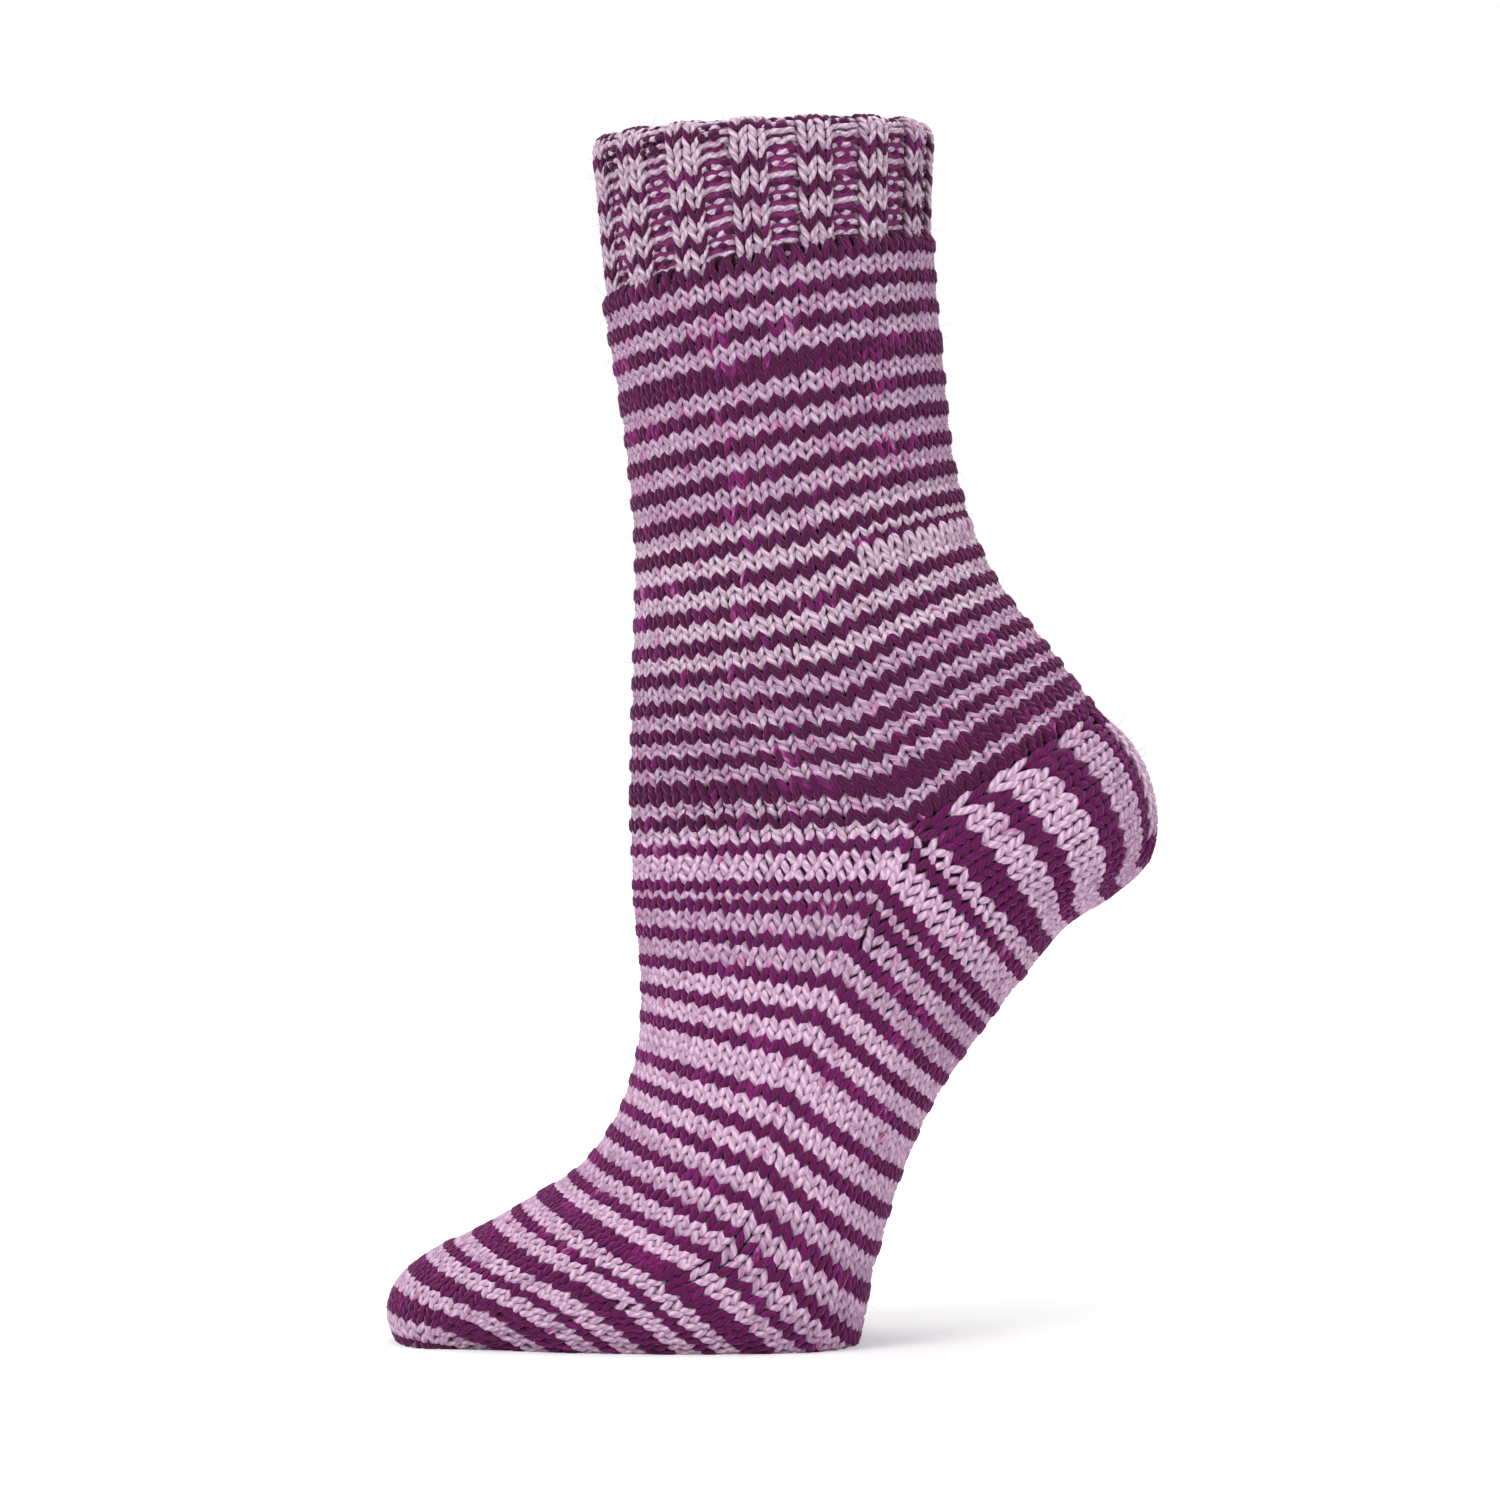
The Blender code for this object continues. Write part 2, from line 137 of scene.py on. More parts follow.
# Rounds whose colour changes well before or after their start, in stitches
LATE_CHANGES = {("leg", 28): -27, ("leg", 29): -27, ("foot", 6): 13}

# How light the dye of each colour is, and how tall and how far out its loops stand
DYES = {"D": 0.04, "M": 0.78, "L": 1.0}
TALL = {"D": 1.3, "M": 0.94, "L": 0.94}
LIFTS = {"D": 0.35, "M": 0.0, "L": 0.0}

# Yarn is this much fuller at the ankle, where the stitches are pulled wide
ANKLE_THICK = 1.15
# How much wider stitches are at the side than in the middle, at the ankle and on the foot
ANKLE_STRETCH = -0.15
TOP_STRETCH = 0.18
SOLE_STRETCH = 0.06
# The last stitch before the side line is left out where less than this share of it fits
LEAST_STITCH = 0.4

# Tube mesh of the yarn: points round it, rings in a stitch, and stitches in one piece
SIDES = 8
RINGS = 14
PIECE_STITCHES = 880


class Curve:
    """Smooth curve through a list of points, read at fractional places along the list."""

    def __init__(self, points):
        self.points = np.asarray(points, float).reshape(len(points), -1)
        steps = np.diff(self.points, axis=0)
        self.lengths = np.linalg.norm(steps, axis=1) + SMALL
        slopes = steps / self.lengths[:, None]
        before, after = self.lengths[:-1, None], self.lengths[1:, None]
        inner = (slopes[:-1] * after + slopes[1:] * before) / (before + after)
        self.tangents = np.vstack((slopes[:1], inner, slopes[-1:]))

    def at(self, place):
        place = np.asarray(place, float)
        index = np.clip(np.floor(place).astype(int), 0, len(self.points) - 2)
        part = (place - index)[..., None]
        step = self.lengths[index][..., None]
        square, cube = part**2, part**3
        return (
            (2 * cube - 3 * square + 1) * self.points[index]
            + (cube - 2 * square + part) * step * self.tangents[index]
            + (3 * square - 2 * cube) * self.points[index + 1]
            + (cube - square) * step * self.tangents[index + 1]
        )


FRONT = Curve([row.front for row in TUBE_ROWS])
SIDE = Curve([row.side for row in TUBE_ROWS])
WIDTH = Curve([(row.half_width,) for row in TUBE_ROWS])
FULLNESS = Curve([(row.fullness,) for row in TUBE_ROWS])
BACK = Curve(
    [row.back for row in LEG_ROWS]
    + list(HEEL_OUTLINE)
    + [row.back for row in FOOT_ROWS + TOE_ROWS]
)


def upright(place, across):
    """Points from (x, z) places and a sideways distance, kept above the floor."""
    return np.stack((place[..., 0], across, np.maximum(place[..., 1], 0.0)), axis=-1)


def front_point(index, turn):
    """Point on the front half of a row; turn 0 is the front, a quarter turn the near side."""
    side = SIDE.at(index)
    place = side + (FRONT.at(index) - side) * np.cos(turn)[..., None]
    return upright(place, -WIDTH.at(index)[..., 0] * np.sin(turn))


def back_point(row, turn):
    """Point on the back half of a row; turn 0 is the back or the sole, positive the near side."""
    index = np.where(row <= LAST_LEG, row, np.maximum(row - HEEL_SPANS, LAST_LEG))
    power = 2.0 / FULLNESS.at(index)[..., 0]
    side = SIDE.at(index)
    along = np.maximum(np.cos(turn), 0.0) ** power
    place = side + (BACK.at(row) - side) * along[..., None]
    sine = np.sin(turn)
    return upright(place, -WIDTH.at(index)[..., 0] * np.sign(sine) * np.abs(sine) ** power)


def blend_table(table, first, second):
    """Reads a table between its entries, both places counted in entries."""
    first = np.clip(first, 0, table.shape[0] - 1 - SMALL)
    second = np.clip(second, 0, table.shape[1] - 1 - SMALL)
    i, j = first.astype(int), second.astype(int)
    a, b = first - i, second - j
    if table.ndim == 3:
        a, b = a[..., None], b[..., None]
    low = table[i, j] * (1 - b) + table[i, j + 1] * b
    high = table[i + 1, j] * (1 - b) + table[i + 1, j + 1] * b
    return low * (1 - a) + high * a


class EvenTurns:
    """Turns that divide a quarter of a row into equal lengths of fabric."""

    FINENESS = 20
    SHARES = 80

    def __init__(self, point, last_row):
        rows = np.linspace(0, last_row, last_row * self.FINENESS + 1)
        turns = np.linspace(0, math.pi / 2, 4 * self.SHARES + 1)
        net = point(rows[:, None] + 0 * turns, turns + 0 * rows[:, None])
        lengths = np.cumsum(np.linalg.norm(np.diff(net, axis=1), axis=2), axis=1)
        lengths = np.hstack((np.zeros((len(rows), 1)), lengths))
        shares = np.linspace(0, 1, self.SHARES + 1)
        self.table = np.array([np.interp(shares, run / run[-1], turns) for run in lengths])

    def at(self, row, share):
        return blend_table(self.table, row * self.FINENESS, share * self.SHARES)


FRONT_TURNS = EvenTurns(front_point, GRAFT_INDEX)
BACK_TURNS = EvenTurns(back_point, GRAFT_INDEX + HEEL_SPANS)


def ring_point(index, across, under_heel):
    """Point on the tube of the sock.

    across runs from -1 at the far side over 0 at the front and 1 at the near side to 2
    at the back and 3 at the far side again. under_heel picks the foot's or the leg's rows.
    """
    across = (across + 1.0) % 4.0 - 1.0
    front_share = np.clip(np.abs(across), 0, 1)
    front = front_point(index, np.sign(across) * FRONT_TURNS.at(index, front_share))
    row = index + HEEL_SPANS if under_heel else index
    back_share = np.clip(np.abs(across - 2.0), 0, 1)
    back = back_point(row, np.sign(2.0 - across) * BACK_TURNS.at(row, back_share))
    return np.where((across <= 1.0)[..., None], front, back)


def facing(point, first, second, first_step, second_step):
    """Outward direction of a surface that is given as a function of two places."""
    down = point(first + first_step, second) - point(first - first_step, second)
    along = point(first, second + second_step) - point(first, second - second_step)
    normal = np.cross(down, along)
    return normal / np.maximum(np.linalg.norm(normal, axis=-1, keepdims=True), TINY)


FOOT_START = LEG_ROUNDS
TOE_START = LEG_ROUNDS + FOOT_ROUNDS
GRAFT_ROUND = TOE_START + TOE_ROUNDS
PROGRESS = (
    LEG_PROGRESS
    + tuple(FOOT_START + rounds for rounds in FOOT_PROGRESS)
    + tuple(TOE_START + rounds for rounds in TOE_PROGRESS)
)


def round_place(number):
    """Place on the tube of a round, counted in rounds from the cuff edge."""
    return np.interp(number, PROGRESS, np.arange(GRAFT_INDEX + 1))


class Tube:
    """Outer face of the leg, foot or toe, by round and place across."""

    ROUND_STEP = 0.1
    ACROSS_STEP = 0.01

    def __init__(self, under_heel):
        self.under_heel = under_heel

    def at(self, number, across):
        def point(a, b):
            return ring_point(round_place(a), b, self.under_heel)

        inner = np.clip(number, self.ROUND_STEP, GRAFT_ROUND - self.ROUND_STEP)
        points = point(number, across)
        faces = facing(point, inner, across, self.ROUND_STEP, self.ACROSS_STEP)
        resting = points[..., 2:] < SMALL
        return points, np.where(resting, DOWN, faces)


class Cuff:
    """Outer face of the ribbing: up the leg, over the rim and down inside it.

    Rounds are counted upwards from the cuff edge.
    """

    # Table of points: steps across, and the lengths of fabric from the cuff edge
    ACROSS_STEPS = 240
    START = -8.0
    STEP = 0.5
    LENGTH = 66.0
    # Lines it is read from: up the leg from below the cuff edge, over the rim, down inside
    LOWEST_ROW = 1.4
    OUTER_LINES = 70
    FOLD_LINES = 25
    TUCK_LINES = 20
    ROW_STEP = 0.03
    ACROSS_STEP = 0.01

    def __init__(self):
        across = np.linspace(-1, 3, self.ACROSS_STEPS + 1)
        rows = np.linspace(self.LOWEST_ROW, 0.0, self.OUTER_LINES)
        grid_rows, grid_across = np.meshgrid(rows, across, indexing="ij")

        def point(a, b):
            return ring_point(a, b, False)

        outer = point(grid_rows, grid_across)
        inner_rows = np.maximum(grid_rows, self.ROW_STEP)
        normals = facing(point, inner_rows, grid_across, self.ROW_STEP, self.ACROSS_STEP)
        out = normals[-1]
        up = outer[-1] - outer[-2]
        up = up - out * np.sum(up * out, axis=1, keepdims=True)
        up = up / np.linalg.norm(up, axis=1, keepdims=True)
        core = outer[-1] - out * FOLD_REACH
        points, faces = list(outer), list(normals)
        for turn in np.linspace(0, math.pi, self.FOLD_LINES)[1:]:
            face = out * math.cos(turn) + up * math.sin(turn)
            points.append(core + face * FOLD_REACH)
            faces.append(face)
        for depth in np.linspace(0, TUCK_DEPTH, self.TUCK_LINES)[1:]:
            points.append(core - out * FOLD_REACH - up * depth)
            faces.append(-out)
        points, faces = np.array(points), np.array(faces)
        lengths = np.cumsum(np.linalg.norm(np.diff(points, axis=0), axis=2), axis=0)
        lengths = np.vstack((np.zeros((1, len(across))), lengths))
        lengths = lengths - lengths[np.argmin(np.abs(rows - CUFF_INDEX))]
        places = np.arange(self.START, self.START + self.LENGTH, self.STEP)
        self.points = np.empty((len(places), len(across), 3))
        self.faces = np.empty_like(self.points)
        for j in range(len(across)):
            for k in range(3):
                self.points[:, j, k] = np.interp(places, lengths[:, j], points[:, j, k])
                self.faces[:, j, k] = np.interp(places, lengths[:, j], faces[:, j, k])

    def at(self, number, across):
        across = (across + 1.0) % 4.0
        first = (number * CUFF_PITCH - CUFF_DROP - self.START) / self.STEP
        second = across / 4.0 * self.ACROSS_STEPS
        point = blend_table(self.points, first, second)
        face = blend_table(self.faces, first, second)
        return point, face / np.linalg.norm(face, axis=-1, keepdims=True)


def even_line(points, count=160):
    """The same line with evenly spaced points."""
    length = np.cumsum(np.linalg.norm(np.diff(points, axis=0), axis=1))
    length = np.concatenate(([0], length)) / length[-1]
    shares = np.linspace(0, 1, count + 1)
    return np.stack([np.interp(shares, length, points[:, k]) for k in range(3)], axis=1)


class Heel:
    """Outer face of the heel flap between the ankle, the band and the first foot round.

    Rows run from the ankle edge to the middle of the sole. across 0 to 1 is the near
    half, 1 to 2 the far half. Row 0 lies on the foot's first round.
    """

    # Points on the outline, on each edge and on the short edge under the band
    FAN_POINTS = 400
    EDGE_POINTS = 300
    END_POINTS = 100
    # Where the face is read near the edges, and with which steps
    ROW_MARGIN = 0.3
    ACROSS_MARGIN = 0.02
    ROW_STEP = 0.2
    ACROSS_STEP = 0.015

    def __init__(self):
        self.middle = np.array((ANKLE.side[0], 0.0, ANKLE.side[1]))
        self.power = ANKLE.fullness
        band_end = LAST_LEG + BAND_END
        fan = np.linspace(LAST_LEG, FIRST_FOOT, self.FAN_POINTS)
        spokes = BACK.at(fan) - np.array(ANKLE.side)
        self.spoke_turns = np.arctan2(spokes[:, 1], spokes[:, 0])[::-1]
        self.spoke_lengths = np.linalg.norm(spokes, axis=1)[::-1]
        edge = math.asin((BAND_HALF / ANKLE.half_width) ** (ANKLE.fullness / 2.0))
        quarter = np.linspace(math.pi / 2, 0, self.EDGE_POINTS)
        ankle = np.linspace(math.pi / 2, edge, self.EDGE_POINTS)
        fan_down = np.linspace(LAST_LEG, band_end, self.EDGE_POINTS)
        sole_rows = np.linspace(FIRST_FOOT, band_end, self.EDGE_POINTS)
        across_end = np.linspace(edge, 0, self.END_POINTS)[1:]
        band_side = back_point(fan_down, edge + 0 * fan_down)
        band_foot = back_point(band_end + 0 * across_end, across_end)
        self.ankle = even_line(back_point(LAST_LEG + 0 * ankle, ankle))
        self.first = even_line(back_point(FIRST_FOOT + 0 * quarter, quarter))
        self.sole = even_line(back_point(sole_rows, 0 * sole_rows))
        self.last = even_line(np.vstack((band_side, band_foot)))

    def on_face(self, points):
        """Moves points onto the heel's rounded face, seen from the middle of the ankle."""
        spoke = points - self.middle
        reach = np.hypot(spoke[..., 0], spoke[..., 2])
        turn = np.arctan2(spoke[..., 2], spoke[..., 0])
        limit = np.interp(turn, self.spoke_turns, self.spoke_lengths)
        size = (reach / limit) ** self.power
        size = size + (np.abs(spoke[..., 1]) / ANKLE.half_width) ** self.power
        return self.middle + spoke / size[..., None] ** (1.0 / self.power)

    def near_point(self, number, across):
        row = np.clip(number / HEEL_ROWS, 0, 1)[..., None]
        part = np.clip(across, 0, 1)[..., None]

        def read(line, share):
            return blend_table(line[None].repeat(2, 0), 0 * share, share * (len(line) - 1))

        row_share, part_share = row[..., 0], part[..., 0]
        sides = read(self.ankle, row_share) * (1 - part) + read(self.sole, row_share) * part
        ends = read(self.first, part_share) * (1 - row) + read(self.last, part_share) * row
        corners = (self.ankle[0] * (1 - row) + self.ankle[-1] * row) * (1 - part)
        corners = corners + (self.sole[0] * (1 - row) + self.sole[-1] * row) * part
        return self.on_face(sides + ends - corners)

    def at(self, number, across):
        far = across > 1.0
        near_across = np.where(far, 2.0 - across, across)
        point = self.near_point(number, near_across)
        inner = np.clip(number, self.ROW_MARGIN, HEEL_ROWS - self.ROW_MARGIN)
        inner_across = np.clip(near_across, self.ACROSS_MARGIN, 1 - self.ACROSS_MARGIN)
        face = -facing(self.near_point, inner, inner_across, self.ROW_STEP, self.ACROSS_STEP)
        mirror = np.where(far, -1.0, 1.0)
        point[..., 1] *= mirror
        face[..., 1] *= mirror
        return point, face


class Band:
    """Outer face of the narrow band up the back of the heel, rows counted downwards."""

    ROW_STEP = 0.2
    ACROSS_STEP = 0.05

    def at(self, number, across):
        def point(a, b):
            row = LAST_LEG + BAND_END * a / BAND_ROWS
            share = np.clip(np.abs(b - 1.0), 0, 1) * BAND_HALF / ANKLE.half_width
            turn = np.arcsin(share ** (ANKLE.fullness / 2.0))
            return back_point(row, turn * np.sign(1.0 - b))

        face = facing(point, number, across, self.ROW_STEP, self.ACROSS_STEP)
        return point(number, across), face


class Dye:
    """Colour along the yarn of one section, from its stripes and where each one changes."""

    # Colours change within this many stitches of a round's start
    UNEVENNESS = 0.4

    def __init__(self, section, stripes, length, random):
        self.length = length
        values = [DYES[stripe] for stripe in stripes]
        changes, levels = [], [values[0]]
        for i in range(1, len(values)):
            if values[i] == values[i - 1]:
                continue
            late = LATE_CHANGES.get((section, i), random.uniform(-self.UNEVENNESS, self.UNEVENNESS))
            changes.append(i * length + late)
            levels.append(values[i])
        self.changes, self.levels = np.array(changes), np.array(levels)

    def at(self, row, stitches):
        return self.levels[np.searchsorted(self.changes, row * self.length + stitches)]


# One run of yarn: its rings of points, and along them the dye, length, outward face and loops
Run = namedtuple("Run", "rings dye length tint faces forward")


def new_piece(name, mesh, material):
    """Puts a mesh into the scene as a piece with its finish."""
    mesh.materials.append(material)
    made = bpy.data.objects.new(name, mesh)
    bpy.context.collection.objects.link(made)
    return made


def quad_map(left, right, low, high):
    """Map corners of quads from their edges along and round the yarn."""
    along = np.stack((right, right, left, left), axis=1)
    around = np.stack((low, high, high, low), axis=1)
    return np.stack((along, around), axis=2)


class Yarn:
    """Collects runs of yarn and makes them into one mesh with colour and bake maps."""

    # Room left between the rows of the bake map, and the length that the other map counts in
    LANE_GAP = 0.12
    MAP_LENGTH = 10.0

    def __init__(self, sides=SIDES):
        self.sides = sides
        self.runs = []

    def add(self, points, faces, dye, radius, tint, forward):
        """Sweeps a ring of points along a path, turned by the faces that it lies on."""
        along = np.gradient(points, axis=0)
        along = along / np.linalg.norm(along, axis=1, keepdims=True)
        side = np.cross(along, faces)
        side = side / np.linalg.norm(side, axis=1, keepdims=True)
        out = np.cross(side, along)
        turns = np.arange(self.sides) * 2 * math.pi / self.sides
        circle = out[:, None] * np.cos(turns)[:, None] + side[:, None] * np.sin(turns)[:, None]
        radius = np.broadcast_to(radius, len(points))
        rings = points[:, None] + circle * radius[:, None, None]
        length = np.concatenate(([0], np.cumsum(np.linalg.norm(np.diff(points, axis=0), axis=1))))
        self.runs.append(Run(rings, dye, length, tint, faces, forward))

    def quads_and_maps(self):
        """Quads of all runs, a bake map of them in rows, and a map along and round the yarn."""
        total = sum(len(run.rings) - 1 for run in self.runs)
        strip = max(int(math.sqrt(total * self.sides)), 1)
        strips = math.ceil(total / strip)
        lane_width = self.sides + 2 * self.LANE_GAP
        quads, bake, run_map = [], [], []
        first_corner = first_step = 0
        for run in self.runs:
            count = len(run.rings)
            step, side = np.meshgrid(np.arange(count - 1), np.arange(self.sides), indexing="ij")
            step, side = step.ravel(), side.ravel()
            after = (side + 1) % self.sides
            ring, next_ring = first_corner + step * self.sides, first_corner + (step + 1) * self.sides
            quads.append(np.stack((next_ring + side, next_ring + after, ring + after, ring + side), axis=1))
            place, lane = (first_step + step) % strip, (first_step + step) // strip
            low = lane + (side + self.LANE_GAP) / lane_width
            high = lane + (side + 1 + self.LANE_GAP) / lane_width
            bake.append(quad_map(place / strip, (place + 1) / strip, low / strips, high / strips))
            length = run.length / self.MAP_LENGTH
            around = side / self.sides, (side + 1) / self.sides
            run_map.append(quad_map(length[step], length[step + 1], *around))
            first_corner += count * self.sides
            first_step += count - 1
        return np.concatenate(quads), np.concatenate(bake), np.concatenate(run_map)

    def make(self, name, material):
        """One smooth mesh of all runs, with the values and maps that its finish reads."""
        corners = np.concatenate([run.rings.reshape(-1, 3) for run in self.runs]) * MM
        quads, bake, run_map = self.quads_and_maps()
        mesh = bpy.data.meshes.new(name)
        mesh.vertices.add(len(corners))
        mesh.vertices.foreach_set("co", corners.astype(np.float32).ravel())
        mesh.loops.add(quads.size)
        mesh.loops.foreach_set("vertex_index", quads.astype(np.int32).ravel())
        mesh.polygons.add(len(quads))
        mesh.polygons.foreach_set("loop_start", np.arange(0, quads.size, 4, dtype=np.int32))
        mesh.polygons.foreach_set("use_smooth", np.ones(len(quads), bool))
        # forward also tells the finish where to paint shade into the dips of the loops
        for title in ("dye", "tint", "forward"):
            rings = [np.broadcast_to(getattr(run, title), len(run.rings)) for run in self.runs]
            layer = mesh.attributes.new(title, "FLOAT", "POINT")
            values = np.repeat(np.concatenate(rings), self.sides)
            layer.data.foreach_set("value", values.astype(np.float32))
        for title, values in (("OFBake", bake), ("yarn_run", run_map)):
            layer = mesh.uv_layers.new(name=title)
            layer.uv.foreach_set("vector", values.astype(np.float32).ravel())
        mesh.update()
        mesh.validate()
        return new_piece(name, mesh, material)


class Knitter:
    """Turns stitches into the looped path of their yarn on a face of the sock."""

    # How uneven the loops are in height, place along the row, sway, lean and thickness
    HEIGHT_SPREAD = 0.05
    PLACE_SPREAD = 0.05
    SWAY_SPREAD = 0.12
    LEAN_SPREAD = 0.03
    RADIUS_SPREAD = 0.05
    # Rings of yarn from one thick or thin place to the next
    UNEVEN_RINGS = 6
    # Share of the swell that yarn has in purl loops, and how often the path between ribs is smoothed
    PURL_SWELL = 0.5
    SMOOTHINGS = 3

    def __init__(self, settings, random):
        self.settings = settings
        self.random = random

    def course(self, face, row, edges, dye, purl=None, sink=None, tall=1.0, lift=0.0, thick=1.0,
               drift=None):
        """Path of one row of stitches between the given edges across.

        tall and thick are shares of the usual loop, sink and lift are lengths, and drift gives
        the shift across per row that leans the columns.
        """
        settings, random = self.settings, self.random
        count = len(edges) - 1
        purl = np.zeros(count, bool) if purl is None else purl
        turn = np.arange(RINGS) / RINGS * 2 * math.pi
        height = settings.loop_height * (1 + random.normal(0, self.HEIGHT_SPREAD, (count, 1))) * tall
        shift = random.normal(0, self.PLACE_SPREAD, (count, 1)) * tall
        sway = settings.loop_sway * (1 + random.normal(0, self.SWAY_SPREAD, (count, 1)))
        lean = random.normal(0, self.LEAN_SPREAD, (count, 1))
        height = height * np.where(purl, settings.purl_height, 1.0)[:, None]
        share = turn / (2 * math.pi) + sway * np.sin(2 * turn) + lean * (1 - np.cos(turn)) / 2
        rows = row - height * np.cos(turn) + shift
        forward = -np.cos(2 * turn) * np.where(purl, -1.0, 1.0)[:, None]
        left, right = edges[:-1, None], edges[1:, None]
        across = (left + (right - left) * share).ravel()
        rows, forward = rows.ravel(), forward.ravel()
        across = np.append(across, edges[-1])
        rows = np.append(rows, rows[-RINGS])
        forward = np.append(forward, forward[-RINGS])
        if purl.any():
            for _ in range(self.SMOOTHINGS):
                inner = (forward[:-2] + 2 * forward[1:-1] + forward[2:]) / 4
                forward = np.concatenate((forward[:1], inner, forward[-1:]))
        if drift is not None:
            across = across + (rows - row) * drift(across)
        points, faces = face.at(rows, across)
        sunk = 0.0 if sink is None else sink(across)
        reach = (forward * settings.loop_depth - settings.fabric_depth) / MM - sunk + lift
        points = points + faces * reach[:, None]
        stitch = np.linspace(0, count, len(across))
        swell = forward * np.append(np.repeat(np.where(purl, self.PURL_SWELL, 1.0), RINGS), 1.0)
        return points, faces, dye(stitch), forward, thick * self.radius(swell)

    def radius(self, swell):
        """Yarn radius along a run: full in a loop's legs, squeezed in its head, a little uneven."""
        settings, count = self.settings, len(swell)
        bumps = self.random.normal(0, 1, count // self.UNEVEN_RINGS + 3)
        places = np.linspace(0, len(bumps) - 1, count)
        wave = self.RADIUS_SPREAD * np.interp(places, np.arange(len(bumps)), bumps)
        return settings.yarn_radius / MM * (1 + wave) * (1 + settings.leg_swell * swell)


# Runs of yarn knitted so far, from which loose fibres stand off
FIBRE_SOURCES = []


def knit_rows(knitter, face, rows, name, node, slot, material):
    """Makes pieces of knitting from rows of (row, edges, dye, extras), split to a set size."""
    pieces, yarn, stitches = [], Yarn(), 0
    for row, edges, dye, extras in rows:
        if stitches + len(edges) - 1 > PIECE_STITCHES:
            pieces.append(yarn)
            yarn, stitches = Yarn(), 0
        points, faces, dyes, forward, radius = knitter.course(face, row, edges, dye, **extras)
        yarn.add(points, faces, smooth(dyes), radius, knitter.random.random(), forward)
        stitches += len(edges) - 1
    pieces.append(yarn)
    for number, piece in enumerate(pieces, 1):
        title = name if len(pieces) == 1 else f"{name}_{number}"
        dress(piece.make(title, material), slot, node)
        FIBRE_SOURCES.extend(piece.runs)


def smooth(values):
    """Softens the steps of a dye change over about half a stitch."""
    width = RINGS // 2
    padded = np.pad(values, width, mode="edge")
    kernel = np.ones(width) / width
    return np.convolve(padded, kernel, mode="same")[width:-width]


def dress(thing, slot, *nodes):
    """Lets a piece ride with the part and stand for its solids."""
    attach(thing, "root")
    if nodes:
        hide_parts(*nodes)


def row_look(stripe, share):
    """How tall and how far forward the loops of a row stand, by its share of the full look."""
    return {"tall": 1 + (TALL[stripe] - 1) * share, "lift": LIFTS[stripe] * share}


def wale_edges(first, last, count, stretch):
    """Edges of stitches across, wider by stretch towards the near and far side."""
    weights = 1 + stretch * np.abs(np.linspace(-1, 1, count))
    edges = np.concatenate(([0], np.cumsum(weights)))
    return first + (last - first) * edges / edges[-1]


def centred_edges(middle, wide, stretch):
    """Edges of a half row, wide stitches to each side of its middle, wider by stretch to the side."""
    inner = np.arange(round(wide)) / wide
    part = np.append(inner[inner < 1 - LEAST_STITCH / wide], 1.0)
    part = part * (1 + stretch * part) / (1 + stretch)
    return np.concatenate((middle - part[::-1], middle + part[1:]))


# Places across of the front and the back middle, and how late a drift fades out at the side line
MIDDLES = (0.0, 2.0)
FADE_POWER = 6


def square_drift(face, row, share, near=0.1):
    """Shift across per row that turns the columns of a row square to it, by a share."""

    def drift(across):
        rows = np.full(len(across), row)
        down = face.at(rows + 0.5, across)[0] - face.at(rows - 0.5, across)[0]
        along = face.at(rows, across + near)[0] - face.at(rows, across - near)[0]
        return -2 * near * share * np.sum(down * along, axis=1) / np.sum(along * along, axis=1)

    return drift


def quarter_length(face, row, middle, count=80):
    """Length of a row from its front or back middle to the side, measured at so many points."""
    across = np.linspace(middle, middle + 1, count)
    points = face.at(np.full(count, row), across)[0]
    return np.linalg.norm(np.diff(points, axis=0), axis=1).sum()


def straight_drift(face, row):
    """Shift across per row that keeps the columns of a row at their distance from its middle.

    It fades out at the side line, where the columns end.
    """
    rates = []
    for middle in MIDDLES:
        before, after = (quarter_length(face, row + step, middle) for step in (-0.5, 0.5))
        rates.append(2 * (before - after) / (before + after))

    def drift(across):
        front = np.abs(across) <= 1
        offset = np.where(front, across, across - 2.0)
        return np.where(front, *rates) * offset * (1 - offset**FADE_POWER)

    return drift


def kept_columns(middle, shares, first, length):
    """Edges of a half row whose columns keep their distance from the middle and end at the side."""
    part = shares * first / length
    part = np.append(part[part < 1 - LEAST_STITCH * (shares[-1] - shares[-2])], 1.0)
    return np.concatenate((middle - part[::-1], middle + part[1:]))


def add_node(tree, kind, **values):
    """A shader node with its settings."""
    node = tree.nodes.new(kind)
    for key, value in values.items():
        setattr(node, key, value)
    return node


def fill(node, values):
    """Sets inputs of a node, by their names, to plain values."""
    for title, value in values.items():
        node.inputs[title].default_value = value


def join(tree, output, target):
    """Links an output to an input."""
    tree.links.new(output, target)


def give(tree, value, socket):
    """Sets an input to a number or a colour, or links it to another node's output."""
    if isinstance(value, bpy.types.NodeSocket):
        join(tree, value, socket)
    else:
        socket.default_value = value


def calculate(tree, operation, *inputs, clamp=False):
    """A math node with numbers or sockets as inputs; returns its output."""
    node = add_node(tree, "ShaderNodeMath", operation=operation, use_clamp=clamp)
    for socket, value in zip(node.inputs, inputs):
        give(tree, value, socket)
    return node.outputs[0]


# A mix node has its sockets for numbers, vectors and colours side by side
COLOUR_MIX_INPUTS = (0, 6, 7)
COLOUR_MIX_OUTPUT = 2


def mix_colour(tree, factor, first, second, blend="MIX"):
    """A colour mix node with numbers, colours or sockets as inputs; returns its output."""
    node = add_node(tree, "ShaderNodeMix", data_type="RGBA", blend_type=blend)
    for number, value in zip(COLOUR_MIX_INPUTS, (factor, first, second)):
        give(tree, value, node.inputs[number])
    return node.outputs[COLOUR_MIX_OUTPUT]


